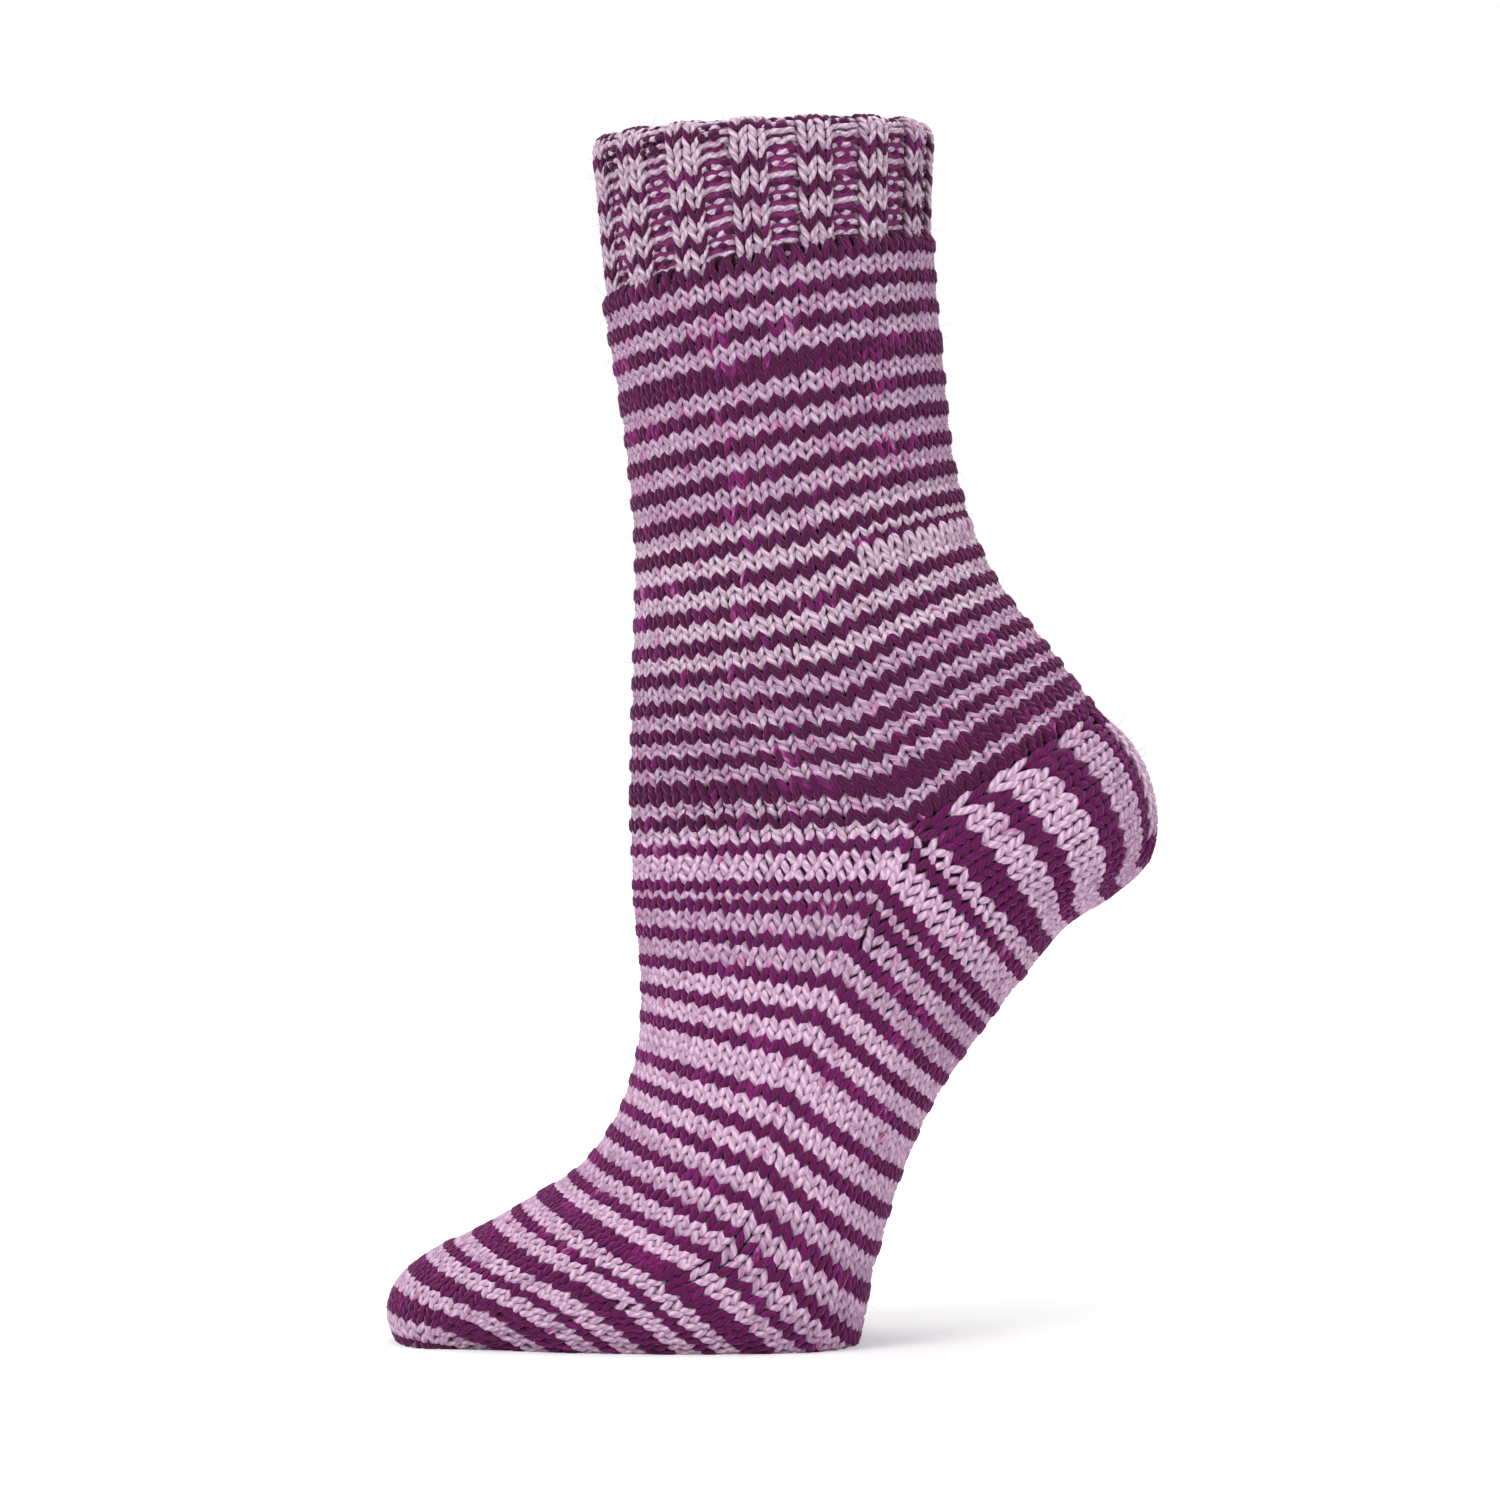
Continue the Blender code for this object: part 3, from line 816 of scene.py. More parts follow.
def noise(tree, vector, scale, detail=2.0):
    """A noise texture; returns its value."""
    node = add_node(tree, "ShaderNodeTexNoise")
    for title, value in (("Vector", vector), ("Scale", scale), ("Detail", detail)):
        give(tree, value, node.inputs[title])
    return node.outputs["Fac"]


def new_group(name, colours, values):
    """A node group from colours and values to a finish, with its input and output nodes."""
    group = bpy.data.node_groups.new(name, "ShaderNodeTree")
    for titles, way, kind in (
        (colours, "INPUT", "NodeSocketColor"), (values, "INPUT", "NodeSocketFloat"),
        (("Color",), "OUTPUT", "NodeSocketColor"), (("Height", "Roughness"), "OUTPUT", "NodeSocketFloat"),
    ):
        for title in titles:
            group.interface.new_socket(title, in_out=way, socket_type=kind)
    return group, add_node(group, "NodeGroupInput"), add_node(group, "NodeGroupOutput")


# Colours of the yarn from dark to light, and the level of dye at which each one is pure
YARN_COLOURS = ("Plum", "Magenta", "Blush", "Lilac", "Pale")
YARN_LEVELS = (0.12, 0.32, 0.50, 0.68, 1.0)
# Turns of the plies in a length of yarn, and their number
TWIST = 5.0
PLIES = 4.0
# Rows of yarn lie this far apart in the noise
ROW_SPACING = 40.0
# Noise along the yarn, as its scale and its share of the dye
DRIFT = (0.7, 0.8)
SPECKLE = (4.0, 0.4)
FIBRE_SCALE = 22.0
# Dark flecks in light yarn and bright parts in dark yarn, as scale, gain, offset and share
FLECK = (0.45, 7.0, -4.0, -0.5)
BRIGHT = (0.16, 6.0, -3.1, 0.24)
# Painted shade in the clefts between the stitches is plum times this
CLEFT_SHADE = (0.45, 0.45, 0.45, 1.0)
# This painted shade covers the yarn from its flanks to its back by this share, and the dips of its loops
FLANK_SHADE = (10.0, -2.75)
FLANK_SHADE_SHARE = 0.75
DIP_SHADE = (-0.85, 0.4)
# Shade in the grooves of plies and fibres, and roughness by the fibres, as gain and offset
PLY_SHADE = (0.36, 0.68)
FIBRE_SHADE = (0.4, 0.82)
FIBRE_ROUGHNESS = (0.2, 0.75)
# Height of the fibres on the plies
FIBRE_HEIGHT = 0.5


def yarn_group():
    """Plied, hand-dyed yarn: colour with painted shade in its clefts and grooves, height and roughness from
    where a point lies on it.
    """
    name = "Plied dyed yarn"
    if name in bpy.data.node_groups:
        return bpy.data.node_groups[name]
    group, inputs, outputs = new_group(name, YARN_COLOURS, ("Twist", "Plies"))
    run = add_node(group, "ShaderNodeUVMap", uv_map="yarn_run")
    split = add_node(group, "ShaderNodeSeparateXYZ")
    join(group, run.outputs["UV"], split.inputs[0])
    along, around = split.outputs["X"], split.outputs["Y"]
    dye, tint, forward = (
        add_node(group, "ShaderNodeAttribute", attribute_name=title).outputs["Fac"]
        for title in ("dye", "tint", "forward")
    )
    place = add_node(group, "ShaderNodeCombineXYZ")
    join(group, along, place.inputs["X"])
    join(group, around, place.inputs["Y"])
    join(group, calculate(group, "MULTIPLY", tint, ROW_SPACING), place.inputs["Z"])
    where = place.outputs[0]

    # Plies wound round each other, and their fibres
    turn = calculate(group, "MULTIPLY", along, inputs.outputs["Twist"])
    turn = calculate(group, "MULTIPLY_ADD", around, inputs.outputs["Plies"], turn)
    ply = calculate(group, "SINE", calculate(group, "MULTIPLY", turn, 2 * math.pi))
    ply = calculate(group, "MULTIPLY_ADD", ply, 0.5, 0.5)
    strand = noise(group, where, FIBRE_SCALE, detail=3.0)

    # How light the dye is: its own level, uneven along the yarn, with flecks and bright parts
    level = dye
    for scale, share in (DRIFT, SPECKLE):
        uneven = calculate(group, "SUBTRACT", noise(group, where, scale), 0.5)
        level = calculate(group, "MULTIPLY_ADD", uneven, share, level)
    spots = []
    for scale, gain, offset, _ in (FLECK, BRIGHT):
        grain = noise(group, where, scale)
        spots.append(calculate(group, "MULTIPLY_ADD", grain, gain, offset, clamp=True))
    fall = calculate(group, "MULTIPLY", spots[0], calculate(group, "MULTIPLY", dye, FLECK[-1]))
    dark = calculate(group, "MULTIPLY_ADD", dye, -BRIGHT[-1], BRIGHT[-1])
    rise = calculate(group, "MULTIPLY", spots[1], dark)
    level = calculate(group, "ADD", level, calculate(group, "ADD", fall, rise))
    colour = inputs.outputs[YARN_COLOURS[0]]
    for i in range(1, len(YARN_COLOURS)):
        low, high = YARN_LEVELS[i - 1], YARN_LEVELS[i]
        above = calculate(group, "SUBTRACT", level, low)
        share = calculate(group, "DIVIDE", above, high - low, clamp=True)
        colour = mix_colour(group, share, colour, inputs.outputs[YARN_COLOURS[i]])

    # Painted shade in the clefts: the flanks and the back of the yarn, and the dips of its loops, are mixed
    # towards a shadowed plum
    front = calculate(group, "ABSOLUTE", calculate(group, "SUBTRACT", around, 0.5))
    front = calculate(group, "MULTIPLY_ADD", front, *FLANK_SHADE, clamp=True)
    flank_shade = calculate(group, "MULTIPLY_ADD", front, -FLANK_SHADE_SHARE, FLANK_SHADE_SHARE)
    dip_shade = calculate(group, "MULTIPLY_ADD", forward, *DIP_SHADE, clamp=True)
    shadow = mix_colour(group, 1.0, inputs.outputs["Plum"], CLEFT_SHADE, "MULTIPLY")
    colour = mix_colour(group, calculate(group, "MAXIMUM", dip_shade, flank_shade), colour, shadow)

    # Shade in the grooves between the plies and between the fibres
    groove = calculate(group, "MULTIPLY_ADD", ply, *PLY_SHADE)
    groove = calculate(group, "MULTIPLY", groove, calculate(group, "MULTIPLY_ADD", strand, *FIBRE_SHADE))
    shade = add_node(group, "ShaderNodeCombineColor")
    for socket in shade.inputs:
        join(group, groove, socket)
    colour = mix_colour(group, 1.0, colour, shade.outputs[0], "MULTIPLY")
    join(group, colour, outputs.inputs["Color"])
    height = calculate(group, "MULTIPLY_ADD", strand, FIBRE_HEIGHT, ply)
    join(group, height, outputs.inputs["Height"])
    rough = calculate(group, "MULTIPLY_ADD", strand, *FIBRE_ROUGHNESS)
    join(group, rough, outputs.inputs["Roughness"])
    return group


# How much rougher the grain is at its highest
GRAIN_ROUGHNESS = 0.2


def grain_group():
    """Fine grain between two colours, with the height and roughness that go with it."""
    name = "Fine grain"
    if name in bpy.data.node_groups:
        return bpy.data.node_groups[name]
    group, inputs, outputs = new_group(name, ("First color", "Second color"), ("Scale", "Smoothest"))
    place = add_node(group, "ShaderNodeTexCoord")
    grain = noise(group, place.outputs["Object"], inputs.outputs["Scale"], detail=4.0)
    colours = inputs.outputs["First color"], inputs.outputs["Second color"]
    join(group, mix_colour(group, grain, *colours), outputs.inputs["Color"])
    join(group, grain, outputs.inputs["Height"])
    rough = calculate(group, "MULTIPLY_ADD", grain, GRAIN_ROUGHNESS, inputs.outputs["Smoothest"])
    join(group, rough, outputs.inputs["Roughness"])
    return group


def new_material(name, group, values, strength, distance):
    """A material with a group's colour, roughness and bump; returns it with its shader."""
    made = bpy.data.materials.new(name)
    made.use_nodes = True
    tree = made.node_tree
    shader = tree.nodes["Principled BSDF"]
    finish = add_node(tree, "ShaderNodeGroup", node_tree=group)
    fill(finish, values)
    bump = add_node(tree, "ShaderNodeBump")
    fill(bump, {"Strength": strength, "Distance": distance})
    join(tree, finish.outputs["Color"], shader.inputs["Base Color"])
    join(tree, finish.outputs["Roughness"], shader.inputs["Roughness"])
    join(tree, finish.outputs["Height"], bump.inputs["Height"])
    join(tree, bump.outputs["Normal"], shader.inputs["Normal"])
    return made, shader


# Faint sheen of soft wool
WOOL = {
    "Specular IOR Level": 0.2,
    "Sheen Weight": 0.3,
    "Sheen Roughness": 0.5,
    "Sheen Tint": (0.9, 0.5, 0.8, 1.0),
}


def yarn_material(name, settings, **others):
    """Soft wool in the yarn's own colours, or in others where they are given."""
    if name in bpy.data.materials:
        return bpy.data.materials[name]
    values = {"Twist": TWIST, "Plies": PLIES}
    for title in YARN_COLOURS:
        colour = others.get(title.lower(), getattr(settings, title.lower()))
        values[title] = (*colour, 1.0)
    made, shader = new_material(name, yarn_group(), values, strength=0.8, distance=0.3 * MM)
    fill(shader, WOOL)
    return made


def foot_yarn(name, settings):
    """The rosier yarn of the foot and the heel."""
    return yarn_material(name, settings, pale=settings.rosy, plum=settings.berry)


def grained_material(name, colour, other, scale, smoothest, distance):
    """A plain finish whose colour and roughness vary with fine grain."""
    values = {
        "First color": (*colour, 1.0), "Second color": (*other, 1.0),
        "Scale": scale, "Smoothest": smoothest,
    }
    return new_material(name, grain_group(), values, strength=0.3, distance=distance)[0]


def linear(red, green, blue):
    """A colour written as screen values from 0 to 255, as a linear colour."""

    def one(value):
        value = value / 255.0
        return value / 12.92 if value <= 0.04045 else ((value + 0.055) / 1.055) ** 2.4

    return one(red), one(green), one(blue)


class YarnSettings(bpy.types.PropertyGroup):
    """Sizes and colours of the yarn and its loops."""

    yarn_radius: bpy.props.FloatProperty(
        name="Yarn radius", description="Half the thickness of the yarn",
        default=0.67 * MM, min=0.2 * MM, max=2 * MM, unit="LENGTH", precision=5)
    loop_height: bpy.props.FloatProperty(
        name="Loop height", description="Half the height of a loop, in rows",
        default=1.08, min=0.5, max=1.2)
    purl_height: bpy.props.FloatProperty(
        name="Purl height", description="Height of a purl loop as a share of a knit one",
        default=0.55, max=1.2)
    loop_sway: bpy.props.FloatProperty(
        name="Loop sway", description="How far a loop's legs lean, in stitch widths",
        default=0.245, max=0.4)
    loop_depth: bpy.props.FloatProperty(
        name="Loop depth", description="How far the legs stand in front of the heads",
        default=1.05 * MM, unit="LENGTH", precision=5)
    leg_swell: bpy.props.FloatProperty(
        name="Leg swell", description="How much thicker the yarn is in a loop's legs",
        default=0.35, max=0.5)
    fabric_depth: bpy.props.FloatProperty(
        name="Fabric depth", description="Depth of the middle of the fabric under the outer face",
        default=1.75 * MM, unit="LENGTH", precision=5)
    rib_depth: bpy.props.FloatProperty(
        name="Rib depth", description="How far the purl columns of the cuff sink in",
        default=1.5 * MM, unit="LENGTH", precision=5)
    pale: bpy.props.FloatVectorProperty(
        name="Pale", description="Palest yarn of the light stripes", subtype="COLOR",
        default=linear(230, 202, 222), min=0, max=1)
    rosy: bpy.props.FloatVectorProperty(
        name="Rosy", description="Palest yarn of the foot and heel", subtype="COLOR",
        default=linear(238, 200, 230), min=0, max=1)
    berry: bpy.props.FloatVectorProperty(
        name="Berry", description="Deepest yarn of the foot and heel", subtype="COLOR",
        default=linear(102, 14, 84), min=0, max=1)
    inner: bpy.props.FloatVectorProperty(
        name="Inner", description="Yarn of the inner face, seen between the loops", subtype="COLOR",
        default=linear(136, 52, 112), min=0, max=1)
    lilac: bpy.props.FloatVectorProperty(
        name="Lilac", description="Lilac yarn of the light stripes", subtype="COLOR",
        default=linear(198, 162, 194), min=0, max=1)
    blush: bpy.props.FloatVectorProperty(
        name="Blush", description="Pink where light yarn runs into dark", subtype="COLOR",
        default=linear(222, 146, 196), min=0, max=1)
    magenta: bpy.props.FloatVectorProperty(
        name="Magenta", description="Bright parts of the dark stripes", subtype="COLOR",
        default=linear(140, 32, 116), min=0, max=1)
    plum: bpy.props.FloatVectorProperty(
        name="Plum", description="Deepest yarn of the dark stripes", subtype="COLOR",
        default=linear(84, 10, 66), min=0, max=1)


class StageSettings(bpy.types.PropertyGroup):
    """Camera and light."""

    distance: bpy.props.FloatProperty(
        name="Camera distance", description="From the camera to the middle of the sock",
        default=1.5, unit="LENGTH")
    view_width: bpy.props.FloatProperty(
        name="View width", description="Width of the picture at the middle of the sock",
        default=0.3495, unit="LENGTH")
    aim: bpy.props.FloatVectorProperty(
        name="Aim", description="Point in the middle of the picture", subtype="XYZ",
        default=(-0.0054, 0.0, 0.1375), unit="LENGTH")
    ambient: bpy.props.FloatProperty(
        name="Ambient light", description="Strength of the even light from all round",
        default=0.38, min=0)
    backdrop: bpy.props.FloatVectorProperty(
        name="Backdrop", description="Colour of the background", subtype="COLOR",
        default=(1.0, 1.0, 1.0), min=0, max=1)


def dye_of(section, stripes, length, random):
    """Reader of a section's dye by row and by stitch from the round's start."""
    dye = Dye(section, stripes, length, random)

    def reader(row, start):
        return lambda stitch: dye.at(row, stitch + start)

    return reader


def dark_behind(dye):
    """The same dye on the front half of a round, and plum on its back half along the heel."""
    return lambda stitch: np.where(stitch > HALF_ROUND, DYES["D"], dye(stitch))


class SOCK_OT_cuff(bpy.types.Operator):
    """Knit the ribbed cuff and turn it in over the rim"""

    bl_idname = "sock.cuff"
    bl_label = "Cuff"

    # Ribs of two knit and two purl stitches, the purl ones a little narrower
    RIB = 4
    PURL_PLACES = (0, 3)
    PURL_WIDTH = 0.88
    KNIT_WIDTH = 1.12
    # How steep the flanks of a rib are
    STEEPNESS = 2.2
    # Rounds over which the ribs flatten towards the rim, and the depth that is left there
    FLATTENING = (8, 12)
    RIM_SHARE = 0.35
    # How much of the look of its colour a row takes
    LOOK = 0.25

    def execute(self, context):
        settings = context.scene.sock_yarn
        random = np.random.default_rng(SEED + 1)
        dye = dye_of("cuff", CUFF_STRIPES, 2 * HALF_ROUND, random)
        number = np.arange(-HALF_ROUND // 2, 2 * HALF_ROUND - HALF_ROUND // 2)
        purl = np.isin(number % self.RIB, self.PURL_PLACES)
        widths = np.where(purl, self.PURL_WIDTH, self.KNIT_WIDTH)
        edges = np.concatenate(([0], np.cumsum(widths)))
        edges = edges / edges[-1] * 4 - 1

        def sink(across):
            wave = np.cos(across * HALF_ROUND / 2 * 2 * math.pi / self.RIB)
            flank = np.tanh(self.STEEPNESS * wave) / math.tanh(self.STEEPNESS)
            return settings.rib_depth / MM * (0.5 + 0.5 * flank)

        rows = []
        for i in range(CUFF_ROUNDS):
            flat = np.interp(i, self.FLATTENING, (1.0, self.RIM_SHARE))
            look = row_look(CUFF_STRIPES[i], self.LOOK)
            look.update(purl=purl, sink=lambda across, flat=flat: flat * sink(across))
            rows.append((i + 0.5, edges, dye(i, 0), look))
        knit_rows(Knitter(settings, random), Cuff(), rows, "cuff_yarn", "cuff_ribbing", "ribbed_yarn",
                  yarn_material("Ribbed yarn", settings))
        return {"FINISHED"}


class SOCK_OT_leg(bpy.types.Operator):
    """Knit the plain rounds of the leg"""

    bl_idname = "sock.leg"
    bl_label = "Leg"

    # The first round lies this far in, under the edge of the cuff
    UNDER_CUFF = -2.2
    # Rounds over which the stitches even out, the yarn fills up and the loops stand out more
    STRETCHES = (30, LEG_ROUNDS), (0.15, ANKLE_STRETCH)
    THICKS = (35, LEG_ROUNDS), (1.0, ANKLE_THICK)
    LOOKS = (30, 50), (1.25, 1.6)

    def execute(self, context):
        settings = context.scene.sock_yarn
        random = np.random.default_rng(SEED + 2)
        dye = dye_of("leg", LEG_STRIPES, 2 * HALF_ROUND, random)
        rows = []
        for i in range(-1, LEG_ROUNDS):
            stretch = np.interp(i, *self.STRETCHES)
            front = wale_edges(-1, 1, HALF_ROUND, stretch)
            back = wale_edges(1, 3, HALF_ROUND, stretch)
            number = max(i, 0)
            look = row_look(LEG_STRIPES[number], np.interp(i, *self.LOOKS))
            look["thick"] = np.interp(i, *self.THICKS)
            if i < 0:
                look["lift"] = self.UNDER_CUFF
            colour = dye(number, 0)
            if i == LEG_ROUNDS - 1:
                colour = dark_behind(colour)
            rows.append((i + 0.5, np.concatenate((front, back[1:])), colour, look))
        knit_rows(Knitter(settings, random), Tube(False), rows, "leg_yarn", "leg_tube", "knitted_yarn",
                  yarn_material("Knitted yarn", settings))
        return {"FINISHED"}


class SOCK_OT_foot(bpy.types.Operator):
    """Knit the instep and the sole"""

    bl_idname = "sock.foot"
    bl_label = "Instep and sole"

    # How far the columns are turned square to the rounds, and the rounds over which that ends
    SQUARES = (18, FOOT_ROUNDS - 8), (0.85, 0)
    # How much the stitches of the instep and of the sole widen to the side, by rounds
    STRETCHES = (0, FILLING_ROUNDS), (ANKLE_STRETCH, TOP_STRETCH)
    SOLE_STRETCHES = (FILLING_ROUNDS, FOOT_ROUNDS), (0, SOLE_STRETCH)
    # How much of the look of its colour a row takes, and how thick its yarn is
    LOOK = 0.8
    THICK = 1.17
    # The instep and the sole reach a little past the side line between them
    REACH = 1.012

    def execute(self, context):
        settings = context.scene.sock_yarn
        random = np.random.default_rng(SEED + 3)
        knitter = Knitter(settings, random)
        material = foot_yarn("Foot yarn", settings)
        dye = dye_of("foot", FOOT_STRIPES, 2 * HALF_ROUND, random)
        tube = Tube(True)
        tops, soles = [], []
        for i in range(FOOT_ROUNDS):
            place = FOOT_START + i + 0.5
            front = wale_edges(-self.REACH, self.REACH, HALF_ROUND, np.interp(i, *self.STRETCHES))
            filled = min(i / FILLING_ROUNDS, 1.0)
            count = SOLE_STITCHES + (HALF_ROUND / 2 - SOLE_STITCHES) * filled
            stretch = np.interp(i, *self.SOLE_STRETCHES)
            back = centred_edges(2.0, count, stretch)
            back[[0, -1]] = 2 - self.REACH, 2 + self.REACH
            look = row_look(FOOT_STRIPES[i], self.LOOK)
            look["thick"] = self.THICK
            look["drift"] = square_drift(tube, place, np.interp(i, *self.SQUARES))
            tops.append((place, front, dye(i, 0), look))
            soles.append((place, back, dye(i, HALF_ROUND), look))
        knit_rows(knitter, tube, tops, "instep_yarn", "instep", "knitted_yarn", material)
        knit_rows(knitter, tube, soles, "sole_yarn", "sole", "knitted_yarn", material)
        return {"FINISHED"}


class SOCK_OT_toe(bpy.types.Operator):
    """Knit the toe, with fewer stitches each round down to its graft"""

    bl_idname = "sock.toe"
    bl_label = "Toe"

    # How much of the look of its colour a row takes, and how thick its yarn is
    LOOK = 0.4
    THICK = 1.05
    # Stitches in a quarter of the first round
    STITCHES = 13

    def execute(self, context):
        settings = context.scene.sock_yarn
        random = np.random.default_rng(SEED + 4)
        dye = dye_of("toe", TOE_STRIPES, 2 * HALF_ROUND, random)
        tube = Tube(True)
        count = self.STITCHES
        top = wale_edges(-1, 1, 2 * count, TOP_STRETCH)[count:]
        sole = centred_edges(0.0, count, SOLE_STRETCH)[count:]
        top_length, sole_length = (quarter_length(tube, TOE_START, middle) for middle in MIDDLES)
        rows = []
        for i in range(TOE_ROUNDS):
            place = TOE_START + i + 0.5
            front = kept_columns(0.0, top, top_length, quarter_length(tube, place, 0.0))
            back = kept_columns(2.0, sole, sole_length, quarter_length(tube, place, 2.0))
            edges = np.concatenate((front, back[1:]))
            look = row_look(TOE_STRIPES[i], self.LOOK)
            look.update(thick=self.THICK, drift=straight_drift(tube, place))
            rows.append((place, edges, dye(i, 0), look))
        knit_rows(Knitter(settings, random), tube, rows, "toe_yarn", "toe_cap", "knitted_yarn",
                  foot_yarn("Foot yarn", settings))
        return {"FINISHED"}


class SOCK_OT_heel(bpy.types.Operator):
    """Knit the heel flap with its long edge stitches and the band up its back"""

    bl_idname = "sock.heel"
    bl_label = "Heel"

    # How thick the yarn of the flap is
    THICK = 1.15
    # Long stitches along both edges: their height, and how far out they stand on the flap and the band
    LONG = 1.9
    FLAP_LIFT = 0.25
    CHAIN_LIFT = 1.0

    def execute(self, context):
        settings = context.scene.sock_yarn
        random = np.random.default_rng(SEED + 5)
        knitter = Knitter(settings, random)
        material = foot_yarn("Heel yarn", settings)
        heel = Heel()
        dye = dye_of("heel", HEEL_STRIPES, 2 * HEEL_STITCHES, random)
        edges = np.linspace(0, 2, 2 * HEEL_STITCHES + 1)
        rows = [(i + 0.5, edges[1:-1], dye(i, 1), {"thick": self.THICK}) for i in range(HEEL_ROWS)]
        knit_rows(knitter, heel, rows, "heel_yarn", "heel_flap", "heel_yarn", material)
        look = {"tall": self.LONG, "lift": self.FLAP_LIFT, "thick": self.THICK}
        slipped = [(i + 1.0, pair, dye(i + 1, HEEL_STITCHES), look)
                   for i in range(0, HEEL_ROWS, 2) for pair in (edges[:2], edges[-2:])]
        knit_rows(knitter, heel, slipped, "heel_edge_yarn", "heel_flap", "heel_yarn", material)

        band_dye = dye_of("band", BAND_STRIPES, BAND_STITCHES, random)
        band = Band()
        edges = np.linspace(0, 2, BAND_STITCHES + 1)
        rows = [(i + 0.5, edges[1:-1], band_dye(i, 1), {}) for i in range(BAND_ROWS)]
        knit_rows(knitter, band, rows, "band_yarn", "heel_back_band", "heel_yarn", material)
        look = {"tall": self.LONG, "lift": self.CHAIN_LIFT}
        chain = [(i + 1.0, pair, band_dye(i, BAND_STITCHES // 2), look)
                 for i in range(0, BAND_ROWS, 2) for pair in (edges[:2], edges[-2:])]
        knit_rows(knitter, band, chain, "band_chain_yarn", "heel_back_band", "heel_yarn", material)
        return {"FINISHED"}


class SOCK_OT_lining(bpy.types.Operator):
    """Add the dark inner face of the fabric that shows between the loops"""

    bl_idname = "sock.lining"
    bl_label = "Inner face"

    # Depth under the outer face, on the leg and on the foot
    DEPTH = 2.7
    FOOT_DEPTH = 2.2
    # First and last place across of a whole round, and of the heel and its band
    ROUND = (-1, 3)
    FLAP = (0, 2)

    def execute(self, context):
        settings = context.scene.sock_yarn
        material = grained_material("Inner yarn", settings.inner, settings.berry,
                                    scale=900.0, smoothest=0.8, distance=0.4 * MM)
        for name, face, rows, across, depth in (
            ("leg_lining", Tube(False), (0, FOOT_START, 60), (*self.ROUND, 97), self.DEPTH),
            ("foot_lining", Tube(True), (FOOT_START, GRAFT_ROUND, 70), (*self.ROUND, 97), self.FOOT_DEPTH),
            ("heel_lining", Heel(), (0, HEEL_ROWS, 24), (*self.FLAP, 49), self.FOOT_DEPTH),
            ("band_lining", Band(), (0, BAND_ROWS, 16), (*self.FLAP, 17), self.DEPTH),
            ("cuff_lining", Cuff(), (0, CUFF_ROUNDS, 50), (*self.ROUND, 121), self.DEPTH),
        ):
            self.sheet(name, face, np.linspace(*rows), np.linspace(*across), depth, material)
        return {"FINISHED"}

    def sheet(self, name, face, rows, across, depth, material):
        """One smooth sheet at a depth under a face, with points at the given rows and places across."""
        grid_rows, grid_across = np.meshgrid(rows, across, indexing="ij")
        points, faces = face.at(grid_rows, grid_across)
        points = (points - faces * depth).reshape(-1, 3) * MM
        count = len(across)
        quads = []
        for i in range(len(rows) - 1):
            for j in range(count - 1):
                a = i * count + j
                quads.append((a, a + 1, a + count + 1, a + count))
        mesh = bpy.data.meshes.new(name)
        mesh.from_pydata(points.tolist(), [], quads)
        mesh.shade_smooth()
        dress(new_piece(name, mesh, material), "knitted_yarn")


class SOCK_OT_fibres(bpy.types.Operator):
    """Let short stray fibres stand off the yarn"""

    bl_idname = "sock.fibres"
    bl_label = "Stray fibres"

    COUNT = 8000
    POINTS = 5
    SIDES = 3
    # Radius, which thins out evenly from a little more than this, and the range of lengths
    RADIUS = 0.04
    TAPER = 1.1
    LENGTHS = (0.8, 2.6)
    # A fibre starts a little inside the yarn, on its outer side, and stays above the floor
    START = 0.9
    LEAST_FACING = 0.1
    LOWEST = 0.1
    # How far it goes straight out, drifts to any side and bends
    OUTWARD = 0.6
    SIDEWAYS = 0.5
    BEND = 0.6

    def execute(self, context):
        if not FIBRE_SOURCES:
            raise RuntimeError("Knit the sections before their fibres")
        settings = context.scene.sock_yarn
        random = np.random.default_rng(SEED + 6)
        sizes = np.array([len(run.rings) for run in FIBRE_SOURCES], float)
        chosen = random.choice(len(FIBRE_SOURCES), self.COUNT, p=sizes / sizes.sum())
        yarn = Yarn(self.SIDES)
        shares = np.linspace(0, 1, self.POINTS)[:, None]
        radius = self.RADIUS * (self.TAPER - shares[:, 0])
        same = np.ones(self.POINTS)
        for number in chosen:
            run = FIBRE_SOURCES[number]
            i = random.integers(1, len(run.rings) - 1)
            middle = run.rings[i].mean(axis=0)
            side = run.rings[i, random.integers(0, SIDES)] - middle
            if np.dot(side, run.faces[i]) < self.LEAST_FACING:
                continue
            out = side / np.linalg.norm(side)
            drift = random.normal(0, 1, 3)
            length = random.uniform(*self.LENGTHS)
            bend = random.normal(0, self.BEND, 3)
            way = shares * (self.OUTWARD * out + self.SIDEWAYS * drift) + shares**2 * bend
            path = middle + side * self.START + length * way
            path[:, 2] = np.maximum(path[:, 2], self.LOWEST)
            faces = np.tile(out, (self.POINTS, 1))
            yarn.add(path, faces, run.dye[i] * same, radius, run.tint, same)
        made = yarn.make("stray_fibres", yarn_material("Loose fibre", settings))
        dress(made, "knitted_yarn")
        return {"FINISHED"}


class SOCK_OT_form(bpy.types.Operator):
    """Finish the display foot inside the sock in matte white plastic"""

    bl_idname = "sock.form"
    bl_label = "Display foot"

    WHITE = (0.80, 0.78, 0.76)
    GREY = (0.74, 0.72, 0.70)

    def execute(self, context):
        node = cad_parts["foot_form"]
        plastic = grained_material("Matte plastic", self.WHITE, self.GREY,
                                   scale=350.0, smoothest=0.4, distance=0.2 * MM)
        node.data.materials.clear()
        node.data.materials.append(plastic)
        return {"FINISHED"}


